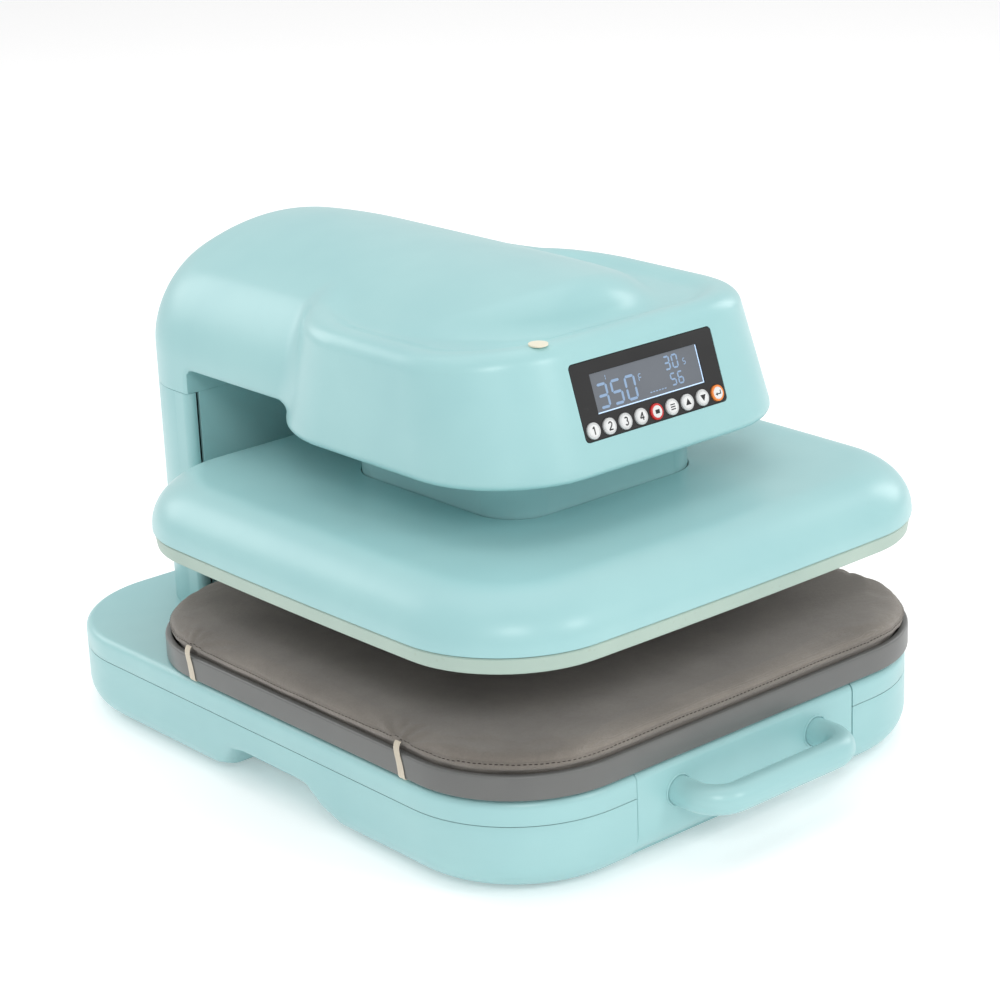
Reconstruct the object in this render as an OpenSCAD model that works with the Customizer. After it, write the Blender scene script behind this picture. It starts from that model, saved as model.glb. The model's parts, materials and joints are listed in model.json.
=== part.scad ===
// Automatic drawer heat press: a motor lowers a heated platen onto a padded drawer.
// Frame: +X to the operator's right, +Y to the rear, +Z up. The origin is on the
// table, under the middle of the whole outline. All sizes are in millimetres.

/* [Base] */
// Width of the base and of the drawer tray
base_w = 424; // [380:1:520]
// Depth of the base, front to rear
base_d = 534; // [500:1:660]
// Height of the deck above the table
base_h = 68; // [60:1:90]
// Plan radius of the base's corners
base_r = 90; // [60:1:110]
// Radius of the rounded bottom edge
base_edge = 24; // [14:1:30]
// Height of the line between the two base shells
base_split = 51; // [44:1:56]
// Wall of every moulded shell
wall = 3; // [2.5:0.1:4]
// How far the rubber feet stand out of the base
foot_out = 2; // [1.5:0.1:4]
// Diameter of a rubber foot
foot_dia = 26; // [18:1:32]
// Length of the arch between the feet on each side
arch_len = 137; // [80:1:180]
// Height of that arch
arch_h = 28; // [12:1:32]
// How far the middle of the arch lies behind the middle of the press
arch_back = 39; // [10:1:60]
// Depth of the recess behind the arch
arch_depth = 36; // [20:1:40]

/* [Drawer] */
// Width of the drawer's front panel
front_w = 203; // [170:1:230]
// Thickness of the drawer's front panel
front_t = 14; // [8:1:18]
// Height of the grey tray ring
tray_h = 17; // [12:1:24]
// Wall of the grey tray ring
tray_wall = 5; // [3:0.5:8]
// Thickness of the lower platen
lower_t = 8; // [5:0.5:12]
// Thickness of the silicone pad
pad_t = 16; // [8:0.5:20]
// Thickness of the fabric pad cover
cover_t = 3; // [1.5:0.5:5]
// Width of an elastic strap
strap_w = 6; // [4:0.5:12]
// Thickness of an elastic strap
strap_t = 0.8; // [0.5:0.1:1.2]
// Distance between the handle's two ends
handle_span = 129; // [100:1:160]
// How far the handle stands out from the front
handle_reach = 44; // [36:1:60]
// Diameter of the handle's bar
handle_dia = 20; // [12:1:24]

/* [Heated platen] */
// Width of the heated platen
platen_w = 390; // [300:1:420]
// Depth of the heated platen
platen_d = 384; // [300:1:410]
// Thickness of the heated platen
platen_t = 12; // [8:0.5:16]
// How far the platen's cover stands out past the platen
cover_lip = 22; // [12:1:28]
// Height of the grey insulating band
band_h = 11.5; // [8:0.5:16]
// Height of the domed cover above the band
dome_h = 36; // [30:1:46]
// Width of the domed cover's rounded edge
dome_edge = 40; // [26:1:50]
// Plan radius of the cover's corners
cover_r = 97; // [60:1:120]
// Open gap between the pad and the heated platen
press_gap = 46; // [30:0.5:60]
// What is left of that gap when the press is closed
closed_gap = 0.5; // [0.3:0.1:1]

/* [Neck and head] */
// Width of the neck shroud
neck_w = 180; // [150:1:190]
// Plan radius of the neck shroud
neck_r = 32; // [10:1:40]
// Gap around the neck shroud
neck_gap = 1.6; // [1:0.1:3]
// Visible height of the neck with the press open
neck_show = 38; // [30:1:60]
// Width of the head
head_w = 320; // [290:1:340]
// Depth of the head
head_d = 288; // [270:1:310]
// Height of the head's rim above its underside
head_h = 85; // [80:1:110]
// Lean of the head's front face, in degrees
face_lean = 18.5; // [10:0.5:25]
// Height of the arm's ridge above the head's rim
ridge_h = 23; // [16:1:40]
// Width of the arm and of the column
arm_w = 260; // [230:1:290]
// Depth of the column
column_d = 82; // [72:1:100]
// Radius of the column's two rear corners
column_r = 66; // [30:1:70]
// Height of the arm's underside above the head's underside
arm_step = 17; // [8:1:30]

/* [Display] */
// Width of the black display panel
panel_w = 128; // [120:1:150]
// Height of the black display panel
panel_h = 51; // [46:1:60]
// Width of the liquid crystal window
lcd_w = 97; // [80:1:110]
// Height of the liquid crystal window
lcd_h = 27; // [20:1:34]
// Diameter of a button
button_dia = 11; // [8:0.5:12]
// Distance from one button to the next
button_pitch = 14.1; // [12.6:0.1:14.4]
// How far a button presses in
button_travel = 0.8; // [0.4:0.1:1.2]
// Gap around a button
button_gap = 0.35; // [0.3:0.05:0.6]

/* [Drive] */
// Diameter of the lead screw
screw_dia = 16; // [12:0.5:20]
// Diameter of a guide rod
rod_dia = 12; // [8:0.5:16]
// Distance between guide rods
rod_span = 110; // [90:1:116]
// Radial running clearance of rods, screw and hinge pins
run_gap = 0.05; // [0.02:0.01:0.08]
// Diameter of the drive motor
motor_dia = 32; // [24:1:36]
// Length of the drive motor
motor_len = 84; // [60:1:100]
// Plain clearance between parts that pass one another
clear = 1; // [0.6:0.1:1.5]

/* [Hidden] */
$fn = 64;
eps = 0.01;
smooth = 32;
sheet = 3;
slab_t = 0.4;
pin_dia = 2;
post_dia = 12;
platen_screw = 4;
axle_dia = 3;
mint = [0.66, 0.86, 0.85];
band_grey = [0.66, 0.74, 0.68];
tray_grey = [0.42, 0.43, 0.44];
steel = [0.66, 0.68, 0.70];
fabric_grey = [0.52, 0.49, 0.46];
black = [0.06, 0.06, 0.07];

// Places along Y
front_y = -(base_d + handle_reach) / 2 + handle_reach;
rear_y = front_y + base_d;
column_back = rear_y - 16;
column_front = column_back - column_d;
tray_front = front_y - 1;
tray_back = column_front - 11;
press_y = (tray_front + tray_back) / 2;
head_y = press_y + 3.5;

// Heights, from the table up
shell_z = foot_out;
tray_z = base_h + 1.5;
tray_top = tray_z + tray_h;
lower_z = tray_z + 4;
pad_z = lower_z + lower_t;
pad_top = pad_z + pad_t + cover_t;
platen_z = pad_top + press_gap;
band_z = platen_z + 8;
dome_z = band_z + band_h;
dome_top = dome_z + dome_h;
head_z = dome_top + neck_show;
rim_z = head_z + head_h;
ridge_z = rim_z + ridge_h;
arm_z = head_z + arm_step;
seam_z = arm_z - 19;
stroke = press_gap - closed_gap;
beam_t = 6;
neck_top = head_z + stroke + 8;
beam_z = neck_top + 6.5;
lift_top = neck_top - 3.5;
plate_z = dome_top - 8;
plate_t = 6;

// Plan sizes that follow from others
cover_w = platen_w + 2 * cover_lip;
cover_d = platen_d + 2 * cover_lip;
tray_w = base_w - 1;
tray_d = tray_back - tray_front;
tray_r = base_r - 4;
bed_w = tray_w - 2 * tray_wall - 8;
bed_d = tray_d - 2 * tray_wall - 8;
bed_r = tray_r - 9;
pad_w = tray_w - 6;
pad_d = tray_d - 6;
pad_r = tray_r - 3;
lower_w = bed_w - 2 * cover_t - 6;
lower_d = bed_d - 2 * cover_t - 6;
slot_w = front_w + 2 * clear;
deck_slot_back = press_y + tray_d / 2 - 14;
rail_len = 2 * (deck_slot_back - press_y) - 12;
rail_z = 26;
rail_h = 30;
rail_w = 12;
rail_x = slot_w / 2 - rail_w - 1;

lift_w = rod_span + rod_dia + 20;

// Head face and display
face_tan = tan(face_lean);
head_front = head_y - head_d / 2;
panel_mid_z = head_z + 0.55 * head_h;
panel_mid_y = head_front + (panel_mid_z - head_z) * face_tan;
panel_t = 2;
button_row = -panel_h / 2 + 6.5;
button_first = -4 * button_pitch;
lcd_row = panel_h / 2 - 8.6 - lcd_h / 2;

// Rear panel, inlet, switch and fan
rear_z = 130;
rear_panel_w = 112;
rear_panel_h = 96;
inlet_x = -34;
inlet_z = rear_z - 28;
inlet_w = 28;
inlet_h = 20;
rocker_x = 30;
rocker_w = 22;
rocker_h = 14;
fan_x = 22;
fan_z = rear_z + 18;
fan_dia = 46;

// ---- shared shapes ----------------------------------------------------------

// Flat rounded rectangle, centred
module rounded_rect(w, d, r) {
    union() {
        square([w - 2 * r, d], center = true);
        square([w, d - 2 * r], center = true);
        for (sx = [-1, 1], sy = [-1, 1])
            translate([sx * (w / 2 - r), sy * (d / 2 - r)]) circle(r = r);
    }
}

// Upright rounded block standing on z
module rounded_block(w, d, r, z, h) {
    translate([0, 0, z]) linear_extrude(height = h) rounded_rect(w, d, r);
}

// Thin slab of a smooth body, used between stations of a hull
module slab(w, d, r, z) {
    translate([0, 0, z]) linear_extrude(height = slab_t) rounded_rect(w, d, r, $fn = smooth);
}

// Screw with a pan head, pointing down from its head
module screw(dia, len) {
    cylinder(d = dia * 1.9, h = dia * 0.6, $fn = 32);
    translate([0, 0, -len]) cylinder(d = dia, h = len + eps, $fn = 32);
}

// A copy on each side of the middle plane
module both_sides() {
    children();
    mirror([1, 0, 0]) children();
}

// ---- base ---------------------------------------------------------------------

// Half section of a wall whose outer bottom edge is rounded
module edge_section(half, h, e) {
    union() {
        square([half - e, h]);
        translate([0, e]) square([half, h - e]);
        translate([half - e, e]) circle(r = e);
    }
}

// Solid outline of the base, drawn in by "inset", with its rounded bottom edge
module base_solid(inset) {
    w = base_w - 2 * inset;
    d = base_d - 2 * inset;
    r = base_r - inset;
    e = base_edge - inset;
    h = base_h - shell_z - 2 * inset;
    translate([0, (front_y + rear_y) / 2, shell_z + inset]) union() {
        for (k = [0:3]) rotate([0, 0, 90 * k]) {
            side = k % 2 == 0 ? w : d;
            run = k % 2 == 0 ? d : w;
            translate([0, run / 2 - r, 0]) rotate([90, 0, 0])
                linear_extrude(height = run - 2 * r) edge_section(side / 2, h, e);
            translate([side / 2 - r, run / 2 - r, 0]) rotate_extrude(angle = 90) edge_section(r, h, e);
        }
    }
}

// Everything in front that the drawer's panel takes the place of
module front_gap(extra) {
    translate([-front_w / 2 - extra, front_y - 5, -1])
        cube([front_w + 2 * extra, front_t + 5 + extra, base_h + 5]);
}

// Outline of the arch in each side between the front and rear feet, grown by "extra"
module arch_outline(extra) {
    half = arch_len / 2 + extra;
    flat = arch_len / 2 - arch_h;
    polygon([[-half - 10, -1], [-half, shell_z], [-flat, shell_z + arch_h + extra],
        [flat, shell_z + arch_h + extra], [half, shell_z], [half + 10, -1]]);
}

// The recess behind each arch, from inside x to past the base's side
module side_arches(inside, extra) {
    both_sides() translate([inside, press_y + arch_back, 0]) rotate([90, 0, 90])
        linear_extrude(height = base_w) arch_outline(extra);
}

module base_bottom_shell() {
    color(mint) difference() {
        base_solid(0);
        difference() {
            base_solid(wall);
            side_arches(base_w / 2 - arch_depth - wall, wall);
        }
        translate([-base_w, front_y - 10, base_split]) cube([2 * base_w, base_d + 20, base_h]);
        front_gap(clear);
        side_arches(base_w / 2 - arch_depth, 0);
        for (p = foot_places()) translate([p[0], p[1], -1]) cylinder(d = 5, h = 20, $fn = 32);
    }
}

module base_top_shell() {
    color(mint) difference() {
        base_solid(0);
        base_solid(wall);
        translate([-base_w, front_y - 10, -1]) cube([2 * base_w, base_d + 20, base_split + 1.2]);
        front_gap(clear);
        translate([-slot_w / 2, front_y - 5, base_h - 10])
            cube([slot_w, deck_slot_back - front_y + 5, 20]);
        translate([-arm_w / 2 + 22, column_front + 10, base_h - 10])
            cube([arm_w - 44, column_d - 26, 20]);
    }
}

function foot_places() = [for (sx = [-1, 1], y = [front_y + 74, rear_y - 74])
    [sx * (base_w / 2 - 54), y]];

module rubber_feet() {
    color([0.12, 0.12, 0.12]) for (p = foot_places()) translate([p[0], p[1], 0]) difference() {
        cylinder(d = foot_dia, h = shell_z, $fn = 48);
        translate([0, 0, -1]) cylinder(d = 9, h = 2.26, $fn = 32);
        translate([0, 0, -1]) cylinder(d = 4.6, h = 10, $fn = 32);
    }
}

module foot_screws() {
    color(steel) for (p = foot_places()) translate([p[0], p[1], 0.6]) {
        translate([0, 0, 0.6]) cylinder(d = 4.2, h = shell_z + wall + 6, $fn = 32);
        cylinder(d = 8, h = 0.6 + eps, $fn = 32);
    }
}

module chassis_plate() {
    color(steel) difference() {
        translate([0, (front_y + rear_y) / 2 + 12, 0])
            rounded_block(base_w - 108, base_d - 84, 30, shell_z + wall + 2, sheet);
        translate([0, press_y, 0]) rounded_block(120, 180, 20, 0, 20);
        for (p = foot_places()) translate([p[0], p[1], 0]) cylinder(d = 5, h = 20, $fn = 32);
    }
}

// ---- drawer -------------------------------------------------------------------

module rail_outer() {
    color(steel) both_sides() translate([rail_x, press_y - rail_len / 2, rail_z]) difference() {
        cube([rail_w, rail_len, rail_h]);
        translate([-1, -1, 4]) cube([rail_w - 3 + 1, rail_len + 2, rail_h - 8]);
    }
    color(steel) both_sides()
        for (y = [-rail_len / 2 + 12, rail_len / 2 - 32]) translate([rail_x, press_y + y, 0])
            translate([2, 0, shell_z + wall + 2 + sheet])
                cube([rail_w - 4, 20, rail_z - shell_z - wall - 2 - sheet]);
}

module rail_inner() {
    color([0.75, 0.76, 0.78]) both_sides()
        translate([rail_x - 1.4, press_y - rail_len / 2, rail_z + 4.6])
            cube([rail_w - 2.6, rail_len - 4, rail_h - 9.2]);
}

module drawer_carriage() {
    inner_w = 2 * rail_x - 2.8;
    len = deck_slot_back - front_y - front_t - 8;
    color(steel) difference() {
        union() {
            translate([-inner_w / 2, front_y + front_t, rail_z + 2]) cube([inner_w, len, sheet]);
            for (s = [-1, 1])
                translate([s * (inner_w / 2 - sheet / 2) - sheet / 2, front_y + front_t, rail_z + 2])
                    cube([sheet, len, rail_h - 4]);
            for (s = [-1, 1]) translate([s * (inner_w / 2 - 5) - 5, front_y + front_t, rail_z + 2])
                cube([10, len, tray_z - rail_z - 2]);
            translate([-inner_w / 2, front_y + front_t, rail_z + 2]) cube([inner_w, sheet, rail_h - 4]);
        }
        translate([0, press_y, 0]) rounded_block(110, 220, 20, rail_z, 10);
        for (s = [-1, 1]) translate([s * handle_span / 2, front_y + front_t - 1, handle_z()])
            rotate([-90, 0, 0]) cylinder(d = 11, h = sheet + 2, $fn = 48);
    }
}

module drawer_front() {
    color(mint) difference() {
        intersection() {
            base_solid(0);
            translate([-front_w / 2, front_y - 5, -1]) cube([front_w, front_t + 5, base_h + 5]);
        }
        for (s = [-1, 1]) translate([s * handle_span / 2, front_y + front_t + 1, handle_z()])
            rotate([90, 0, 0]) cylinder(d = 5.2, h = front_t + 10, $fn = 32);
    }
}

function handle_z() = 0.66 * base_h;

// Tubular handle: two legs, two bends and a straight bar
module drawer_handle() {
    r = handle_dia / 2;
    bend = 20;
    x = handle_span / 2;
    y = front_y - handle_reach + r;
    color(mint) difference() {
        union() {
            translate([-x + bend, y, handle_z()]) rotate([0, 90, 0]) cylinder(r = r, h = 2 * (x - bend));
            both_sides() {
                translate([x, front_y, handle_z()]) rotate([90, 0, 0])
                    cylinder(r = r, h = front_y - y - bend);
                translate([x - bend, y + bend, handle_z()]) rotate([0, 0, -90])
                    rotate_extrude(angle = 90) translate([bend, 0]) circle(r = r);
            }
        }
        for (s = [-1, 1]) translate([s * x, front_y + 1, handle_z()]) rotate([90, 0, 0])
            cylinder(d = 4.2, h = 17, $fn = 32);
    }
}

module handle_screws() {
    color(steel) for (s = [-1, 1])
        translate([s * handle_span / 2, front_y + front_t, handle_z()]) rotate([-90, 0, 0]) {
            cylinder(d = 9, h = 2.6, $fn = 32);
            translate([0, 0, -front_t - 12]) cylinder(d = 4.2, h = front_t + 12 + eps, $fn = 32);
        }
}

module tray_ring() {
    color(tray_grey) translate([0, press_y, 0]) difference() {
        rounded_block(tray_w, tray_d, tray_r, tray_z, tray_h);
        rounded_block(tray_w - 2 * tray_wall, tray_d - 2 * tray_wall, tray_r - tray_wall,
            tray_z + 2, tray_h);
        rounded_block(tray_w - 2 * tray_wall - 12, tray_d - 2 * tray_wall - 12, tray_r - tray_wall - 6,
            tray_z - 1, tray_h);
    }
}

module drawer_pan() {
    color(mint) translate([0, press_y, 0])
        rounded_block(tray_w - 2 * tray_wall - 13, tray_d - 2 * tray_wall - 13, tray_r - tray_wall - 6.5,
            tray_z, 4);
}

module lower_platen() {
    color(steel) translate([0, press_y, 0])
        rounded_block(lower_w, lower_d, bed_r - 6, lower_z, lower_t);
}

module silicone_pad() {
    color([0.85, 0.45, 0.25]) translate([0, press_y, 0])
        rounded_block(lower_w, lower_d, bed_r - 6, pad_z, pad_t);
}

// Fitted fabric cover: a skirt inside the tray and a fuller soft cap above the tray's edge
module pad_cover() {
    brim_z = tray_top + strap_t + 0.3;
    color(fabric_grey) translate([0, press_y, 0]) difference() {
        union() {
            rounded_block(bed_w, bed_d, bed_r, lower_z + 3, brim_z - lower_z - 3 + slab_t);
            hull() {
                slab(bed_w + 2, bed_d + 2, bed_r + 1, brim_z);
                slab(pad_w, pad_d, pad_r, brim_z + 3);
                slab(pad_w - 1, pad_d - 1, pad_r - 0.5, pad_top - 5);
                slab(pad_w - 14, pad_d - 14, pad_r - 7, pad_top - slab_t);
            }
        }
        rounded_block(lower_w + 2, lower_d + 2, bed_r - 5, lower_z - 1, lower_t + pad_t + 1);
    }
}

// Four elastic straps that run from the cover over the tray's wall and under it
module elastic_straps() {
    side = tray_w / 2;
    run = tray_wall + 3.8;
    straight = tray_d / 2 - tray_r;
    color([0.86, 0.83, 0.76]) both_sides()
        for (y = [-straight + 20, straight - 2]) translate([0, press_y + y - strap_w / 2, 0]) {
            translate([side, 0, tray_z - strap_t]) cube([strap_t, strap_w, tray_h + 2 * strap_t]);
            for (z = [tray_top, tray_z - strap_t])
                translate([side - run, 0, z]) cube([run + eps, strap_w, strap_t]);
        }
}

// ---- column and arm -------------------------------------------------------------

// Quarter disc in the corner towards +X and +Y
module quarter(r) {
    intersection() {
        circle(r = r);
        square([r + 1, r + 1]);
    }
}

// Plan of the column: small front corners, large rear corners
module column_plan(inset) {
    w = arm_w - 2 * inset;
    r = column_r - inset;
    f = 6;
    front = column_front + inset;
    back = column_back - inset;
    union() {
        translate([-w / 2 + f, front]) square([w - 2 * f, f]);
        translate([-w / 2, front + f]) square([w, back - front - r - f]);
        translate([-w / 2 + r, back - r]) square([w - 2 * r, r]);
        for (s = [-1, 1]) translate([s * (w / 2 - f), front + f]) circle(r = f);
        translate([w / 2 - r, back - r]) quarter(r);
        translate([-w / 2 + r, back - r]) mirror([1, 0]) quarter(r);
    }
}

module column_shell() {
    color(mint) difference() {
        translate([0, 0, base_h]) linear_extrude(height = seam_z - base_h) column_plan(0);
        translate([0, 0, base_h - 1]) linear_extrude(height = seam_z - base_h + 2) column_plan(wall);
        translate([-arm_w / 2 + 8, column_front - 5, base_h + 4])
            cube([arm_w - 16, 5 + wall + 1, seam_z - base_h - 4 + 1]);
        translate([-rear_panel_w / 2, column_back - 10, rear_z - rear_panel_h / 2])
            cube([rear_panel_w, 20, rear_panel_h]);
    }
}

module column_front_panel() {
    color(mint) difference() {
        translate([-arm_w / 2 + 11, column_front + 0.4, base_h + 4 + clear])
            cube([arm_w - 22, wall - 0.4, seam_z - base_h - 4 - 2 * clear]);
        for (sx = [-1, 1], z = [base_h + 20, seam_z - 16])
            translate([sx * (arm_w / 2 - 20), column_front + 5, z]) rotate([90, 0, 0])
                cylinder(d = 3.4, h = 10, $fn = 32);
    }
}

module column_frame() {
    up = 14;
    z0 = shell_z + wall + 2 + sheet;
    color(steel) both_sides() translate([66, column_front + 16, z0]) difference() {
        cube([30, column_d - 44, beam_z - z0]);
        translate([sheet, sheet, -1]) cube([31, column_d - 44 - 2 * sheet, beam_z - z0 + 2]);
    }
    color(steel) translate([-66 - eps, column_front + 16, seam_z - up])
        cube([132 + 2 * eps, sheet, up]);
}

module arm_beam() {
    beam_w = 170;
    beam_front = head_y - 78;
    beam_back = column_front + column_d - 26;
    color(steel) difference() {
        union() {
            translate([-beam_w / 2, beam_front, beam_z]) cube([beam_w, beam_back - beam_front, beam_t]);
            both_sides() translate([beam_w / 2 - 4, beam_front, beam_z])
                cube([4, beam_back - beam_front, 16]);
        }
        translate([0, head_y, beam_z - 1]) cylinder(d = screw_dia + 2 * clear, h = beam_t + 2);
        for (p = rod_places()) translate([p[0], p[1], beam_z - 1]) cylinder(d = rod_dia, h = beam_t + 2);
        translate([-30, head_y + 120, beam_z - 1]) cube([60, 60, beam_t + 2]);
    }
}

function rod_places() = [for (sx = [-1, 1], sy = [-1, 1])
    [sx * rod_span / 2, head_y + sy * rod_span / 2]];

// Section of the arm: straight sides, then a full rounded top
module arm_section(w, z0, zs, zt, y) {
    n = 2.7;
    top = [for (a = [0:9:180]) [w / 2 * sign(cos(a)) * pow(abs(cos(a)), 2 / n),
        zs + (zt - zs) * pow(sin(a), 2 / n)]];
    translate([0, y, 0]) rotate([90, 0, 0]) linear_extrude(height = slab_t)
        polygon(concat([[-w / 2, z0], [w / 2, z0]], top));
}

// Rounded arm from the column to the head, drawn in by "inset"
module arm_solid(inset) {
    w = arm_w - 2 * inset;
    zt = ridge_z - inset;
    shoulder = rim_z - 30 - inset;
    back = column_back - inset;
    hull() {
        arm_section(w - 2 * column_r + 20, arm_z, shoulder - 34, shoulder - 6, back);
        arm_section(w - 52, arm_z, shoulder - 22, zt - 34, back - 6);
        arm_section(w - 18, arm_z, shoulder - 10, zt - 14, back - 22);
        arm_section(w - 4, arm_z, shoulder - 2, zt - 4, back - 46);
        arm_section(w, arm_z, shoulder, zt, back - 74);
        arm_section(w, arm_z, shoulder, zt, head_y + 70);
        arm_section(w - 50, arm_z, shoulder, zt - 1, head_y);
        arm_section(w - 110, arm_z, shoulder, zt - 8, head_y - 44);
        arm_section(w - 170, arm_z, shoulder, rim_z + 2 - inset, head_y - 84);
    }
}

// Head: a wide rounded body whose front leans back, drawn in by "inset"
module head_solid(inset) {
    lean = (head_h - 12) * face_tan;
    hull() {
        head_plan(inset + 5, 0, head_z);
        head_plan(inset, 0, head_z + 5);
        head_plan(inset + 18, lean - 16, rim_z - 12);
        head_plan(inset + 22, lean - 18, rim_z - 4 - inset);
        head_plan(inset + 30, lean - 20, rim_z - slab_t - inset);
    }
}

// Plan of the head at one height: flatter front, rounder rear
module head_plan(inset, lean, z) {
    fr = 86 - inset;
    rr = 112 - inset;
    hw = head_w / 2 - inset;
    hf = head_front + inset + lean;
    hb = head_y + head_d / 2 - inset;
    for (s = [-1, 1]) {
        translate([s * (hw - fr), hf + fr, z]) cylinder(r = fr, h = slab_t, $fn = smooth * 2);
        translate([s * (hw - rr), hb - rr, z]) cylinder(r = rr, h = slab_t, $fn = smooth * 2);
    }
}

// Collar of the arm that comes down onto the column
module arm_collar(inset) {
    translate([0, 0, seam_z - (inset > 0 ? 1 : 0)]) linear_extrude(height = rim_z - 60 - seam_z)
        column_plan(inset);
}

// Places things on the leaning face: x across, y up the face, z out of it
module on_face() {
    translate([0, panel_mid_y, panel_mid_z]) rotate([90 - face_lean, 0, 0]) children();
}

module head_shell() {
    color(mint) difference() {
        union() {
            head_solid(0);
            arm_solid(0);
            arm_collar(0);
        }
        difference() {
            union() {
                head_solid(wall);
                arm_solid(wall);
                arm_collar(wall);
            }
            on_face() translate([-panel_w / 2 - 6, -panel_h / 2 - 6, -6])
                cube([panel_w + 12, panel_h + 12, 9]);
        }
        translate([0, 0, head_z - 1]) linear_extrude(height = 4) floor_plan(wall + 3);
        translate([-arm_w / 2 + wall, head_y + head_d / 2 - 30, arm_z - 1])
            cube([arm_w - 2 * wall, column_front - head_y - head_d / 2 + 30 + 5, wall + 1]);
        on_face() translate([0, 0, -3]) linear_extrude(height = 20)
            rounded_rect(panel_w + 1.2, panel_h + 1.2, 3.6);
        on_face() translate([-panel_w / 2 + 1.4, -panel_h / 2 + 0.4, -12])
            cube([panel_w - 2.8, panel_h - 4, 20]);
        plug_place() translate([0, 0, -12]) cylinder(d = 8, h = 30, $fn = 32);
    }
}

// Flat outline of the head's underside, drawn in by "inset"
module floor_plan(inset) {
    fr = 86 - inset;
    rr = 112 - inset;
    hw = head_w / 2 - inset;
    hull() for (s = [-1, 1]) {
        translate([s * (hw - fr), head_front + inset + fr]) circle(r = fr, $fn = smooth * 2);
        translate([s * (hw - rr), head_y + head_d / 2 - inset - rr]) circle(r = rr, $fn = smooth * 2);
    }
}

module head_floor() {
    color(mint) {
        difference() {
            translate([0, 0, head_z + 0.6]) linear_extrude(height = wall) floor_plan(wall + 3.4);
            translate([0, head_y, 0])
                rounded_block(neck_w + 2 * neck_gap, neck_w + 2 * neck_gap, neck_r + neck_gap,
                    head_z - 2, 20);
        }
        translate([-arm_w / 2 + wall + 0.4, head_y + head_d / 2 - 29, arm_z + 0.2])
            cube([arm_w - 2 * wall - 0.8, column_front - head_y - head_d / 2 + 29 + 4, wall - 0.4]);
    }
}

module plug_place() {
    translate([-76, head_front + 38, rim_z]) children();
}

module head_plug() {
    color([0.9, 0.87, 0.78]) plug_place() {
        translate([0, 0, 0]) cylinder(d = 13, h = 1.2, $fn = 48);
        translate([0, 0, -6]) cylinder(d = 7.6, h = 6 + eps, $fn = 32);
    }
}

// ---- rear panel -----------------------------------------------------------------

module rear_panel() {
    color([0.16, 0.17, 0.18]) difference() {
        translate([-rear_panel_w / 2 + 0.4, column_back - wall, rear_z - rear_panel_h / 2 + 0.4])
            cube([rear_panel_w - 0.8, wall - 0.4, rear_panel_h - 0.8]);
        translate([inlet_x - inlet_w / 2 - 0.3, column_back - 10, inlet_z - inlet_h / 2 - 0.3])
            cube([inlet_w + 0.6, 20, inlet_h + 0.6]);
        translate([rocker_x - rocker_w / 2 - 0.3, column_back - 10, inlet_z - rocker_h / 2 - 0.3])
            cube([rocker_w + 0.6, 20, rocker_h + 0.6]);
        for (i = [-4:4]) translate([fan_x - fan_span(i), column_back - 10, fan_z + i * 5 - 1.2])
            cube([2 * fan_span(i), 20, 2.4]);
        for (i = [0:7]) translate([-48, column_back - 10, rear_z - 4 + i * 6]) cube([32, 20, 2.6]);
    }
}

// Half length of a fan slot, so that the slots fill a circle
function fan_span(i) = sqrt(pow(fan_dia / 2, 2) - pow(i * 5, 2));

module power_inlet() {
    color(black) translate([inlet_x, column_back, inlet_z]) difference() {
        union() {
            translate([-inlet_w / 2, -20, -inlet_h / 2]) cube([inlet_w, 20, inlet_h]);
            translate([-inlet_w / 2 - 3, -0.4, -inlet_h / 2 - 3]) cube([inlet_w + 6, 2.4, inlet_h + 6]);
        }
        translate([-inlet_w / 2 + 2.4, -14, -inlet_h / 2 + 2.4]) cube([inlet_w - 4.8, 20, inlet_h - 4.8]);
    }
    color(steel) for (dx = [-7, 0, 7])
        translate([inlet_x + dx - 1, column_back - 14 - eps, inlet_z - 2 + (dx == 0 ? 3 : 0)])
            cube([2, 12, 4]);
}

module rocker_housing() {
    color(black) translate([rocker_x, column_back, inlet_z]) difference() {
        union() {
            translate([-rocker_w / 2, -16, -rocker_h / 2]) cube([rocker_w, 16, rocker_h]);
            translate([-rocker_w / 2 - 2, -0.4, -rocker_h / 2 - 2]) cube([rocker_w + 4, 2, rocker_h + 4]);
        }
        translate([-rocker_w / 2 + 1.6, -9, -rocker_h / 2 + 1.2]) cube([rocker_w - 3.2, 20, rocker_h - 2.4]);
        translate([0, -2, -rocker_h / 2 + 0.3])
            cylinder(d = pin_dia + 2 * run_gap, h = rocker_h - 0.6, $fn = 32);
    }
}

// Rocker: a shallow wedge-sided key that tips about its upright pin
module rocker() {
    hw = rocker_w / 2 - 2.2;
    hh = rocker_h / 2 - 1.6;
    pin_half = rocker_h / 2 - 0.5;
    color([0.75, 0.08, 0.06]) translate([rocker_x, column_back - 2, inlet_z]) {
        translate([0, 0, -hh]) linear_extrude(height = 2 * hh)
            polygon([[-hw, 3.2], [0, 1.4], [hw, 1.2], [hw - 1, -3.2], [-hw + 1, -3.2]]);
        translate([0, 0, -pin_half]) cylinder(d = pin_dia, h = 2 * pin_half, $fn = 32);
    }
}

module fan_frame() {
    color(black) translate([fan_x, column_back - wall - 0.4, fan_z]) rotate([90, 0, 0]) difference() {
        translate([-fan_dia / 2 - 2, -fan_dia / 2 - 2, 0]) cube([fan_dia + 4, fan_dia + 4, 12]);
        translate([0, 0, -1]) cylinder(d = fan_dia, h = 10.2);
        for (a = [0:90:270]) rotate([0, 0, a]) translate([5, 5, 8]) cube([15, 15, 8]);
    }
    color(steel) translate([fan_x, column_back - wall - 3.2, fan_z]) rotate([90, 0, 0])
        cylinder(d = axle_dia, h = 7, $fn = 32);
}

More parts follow.
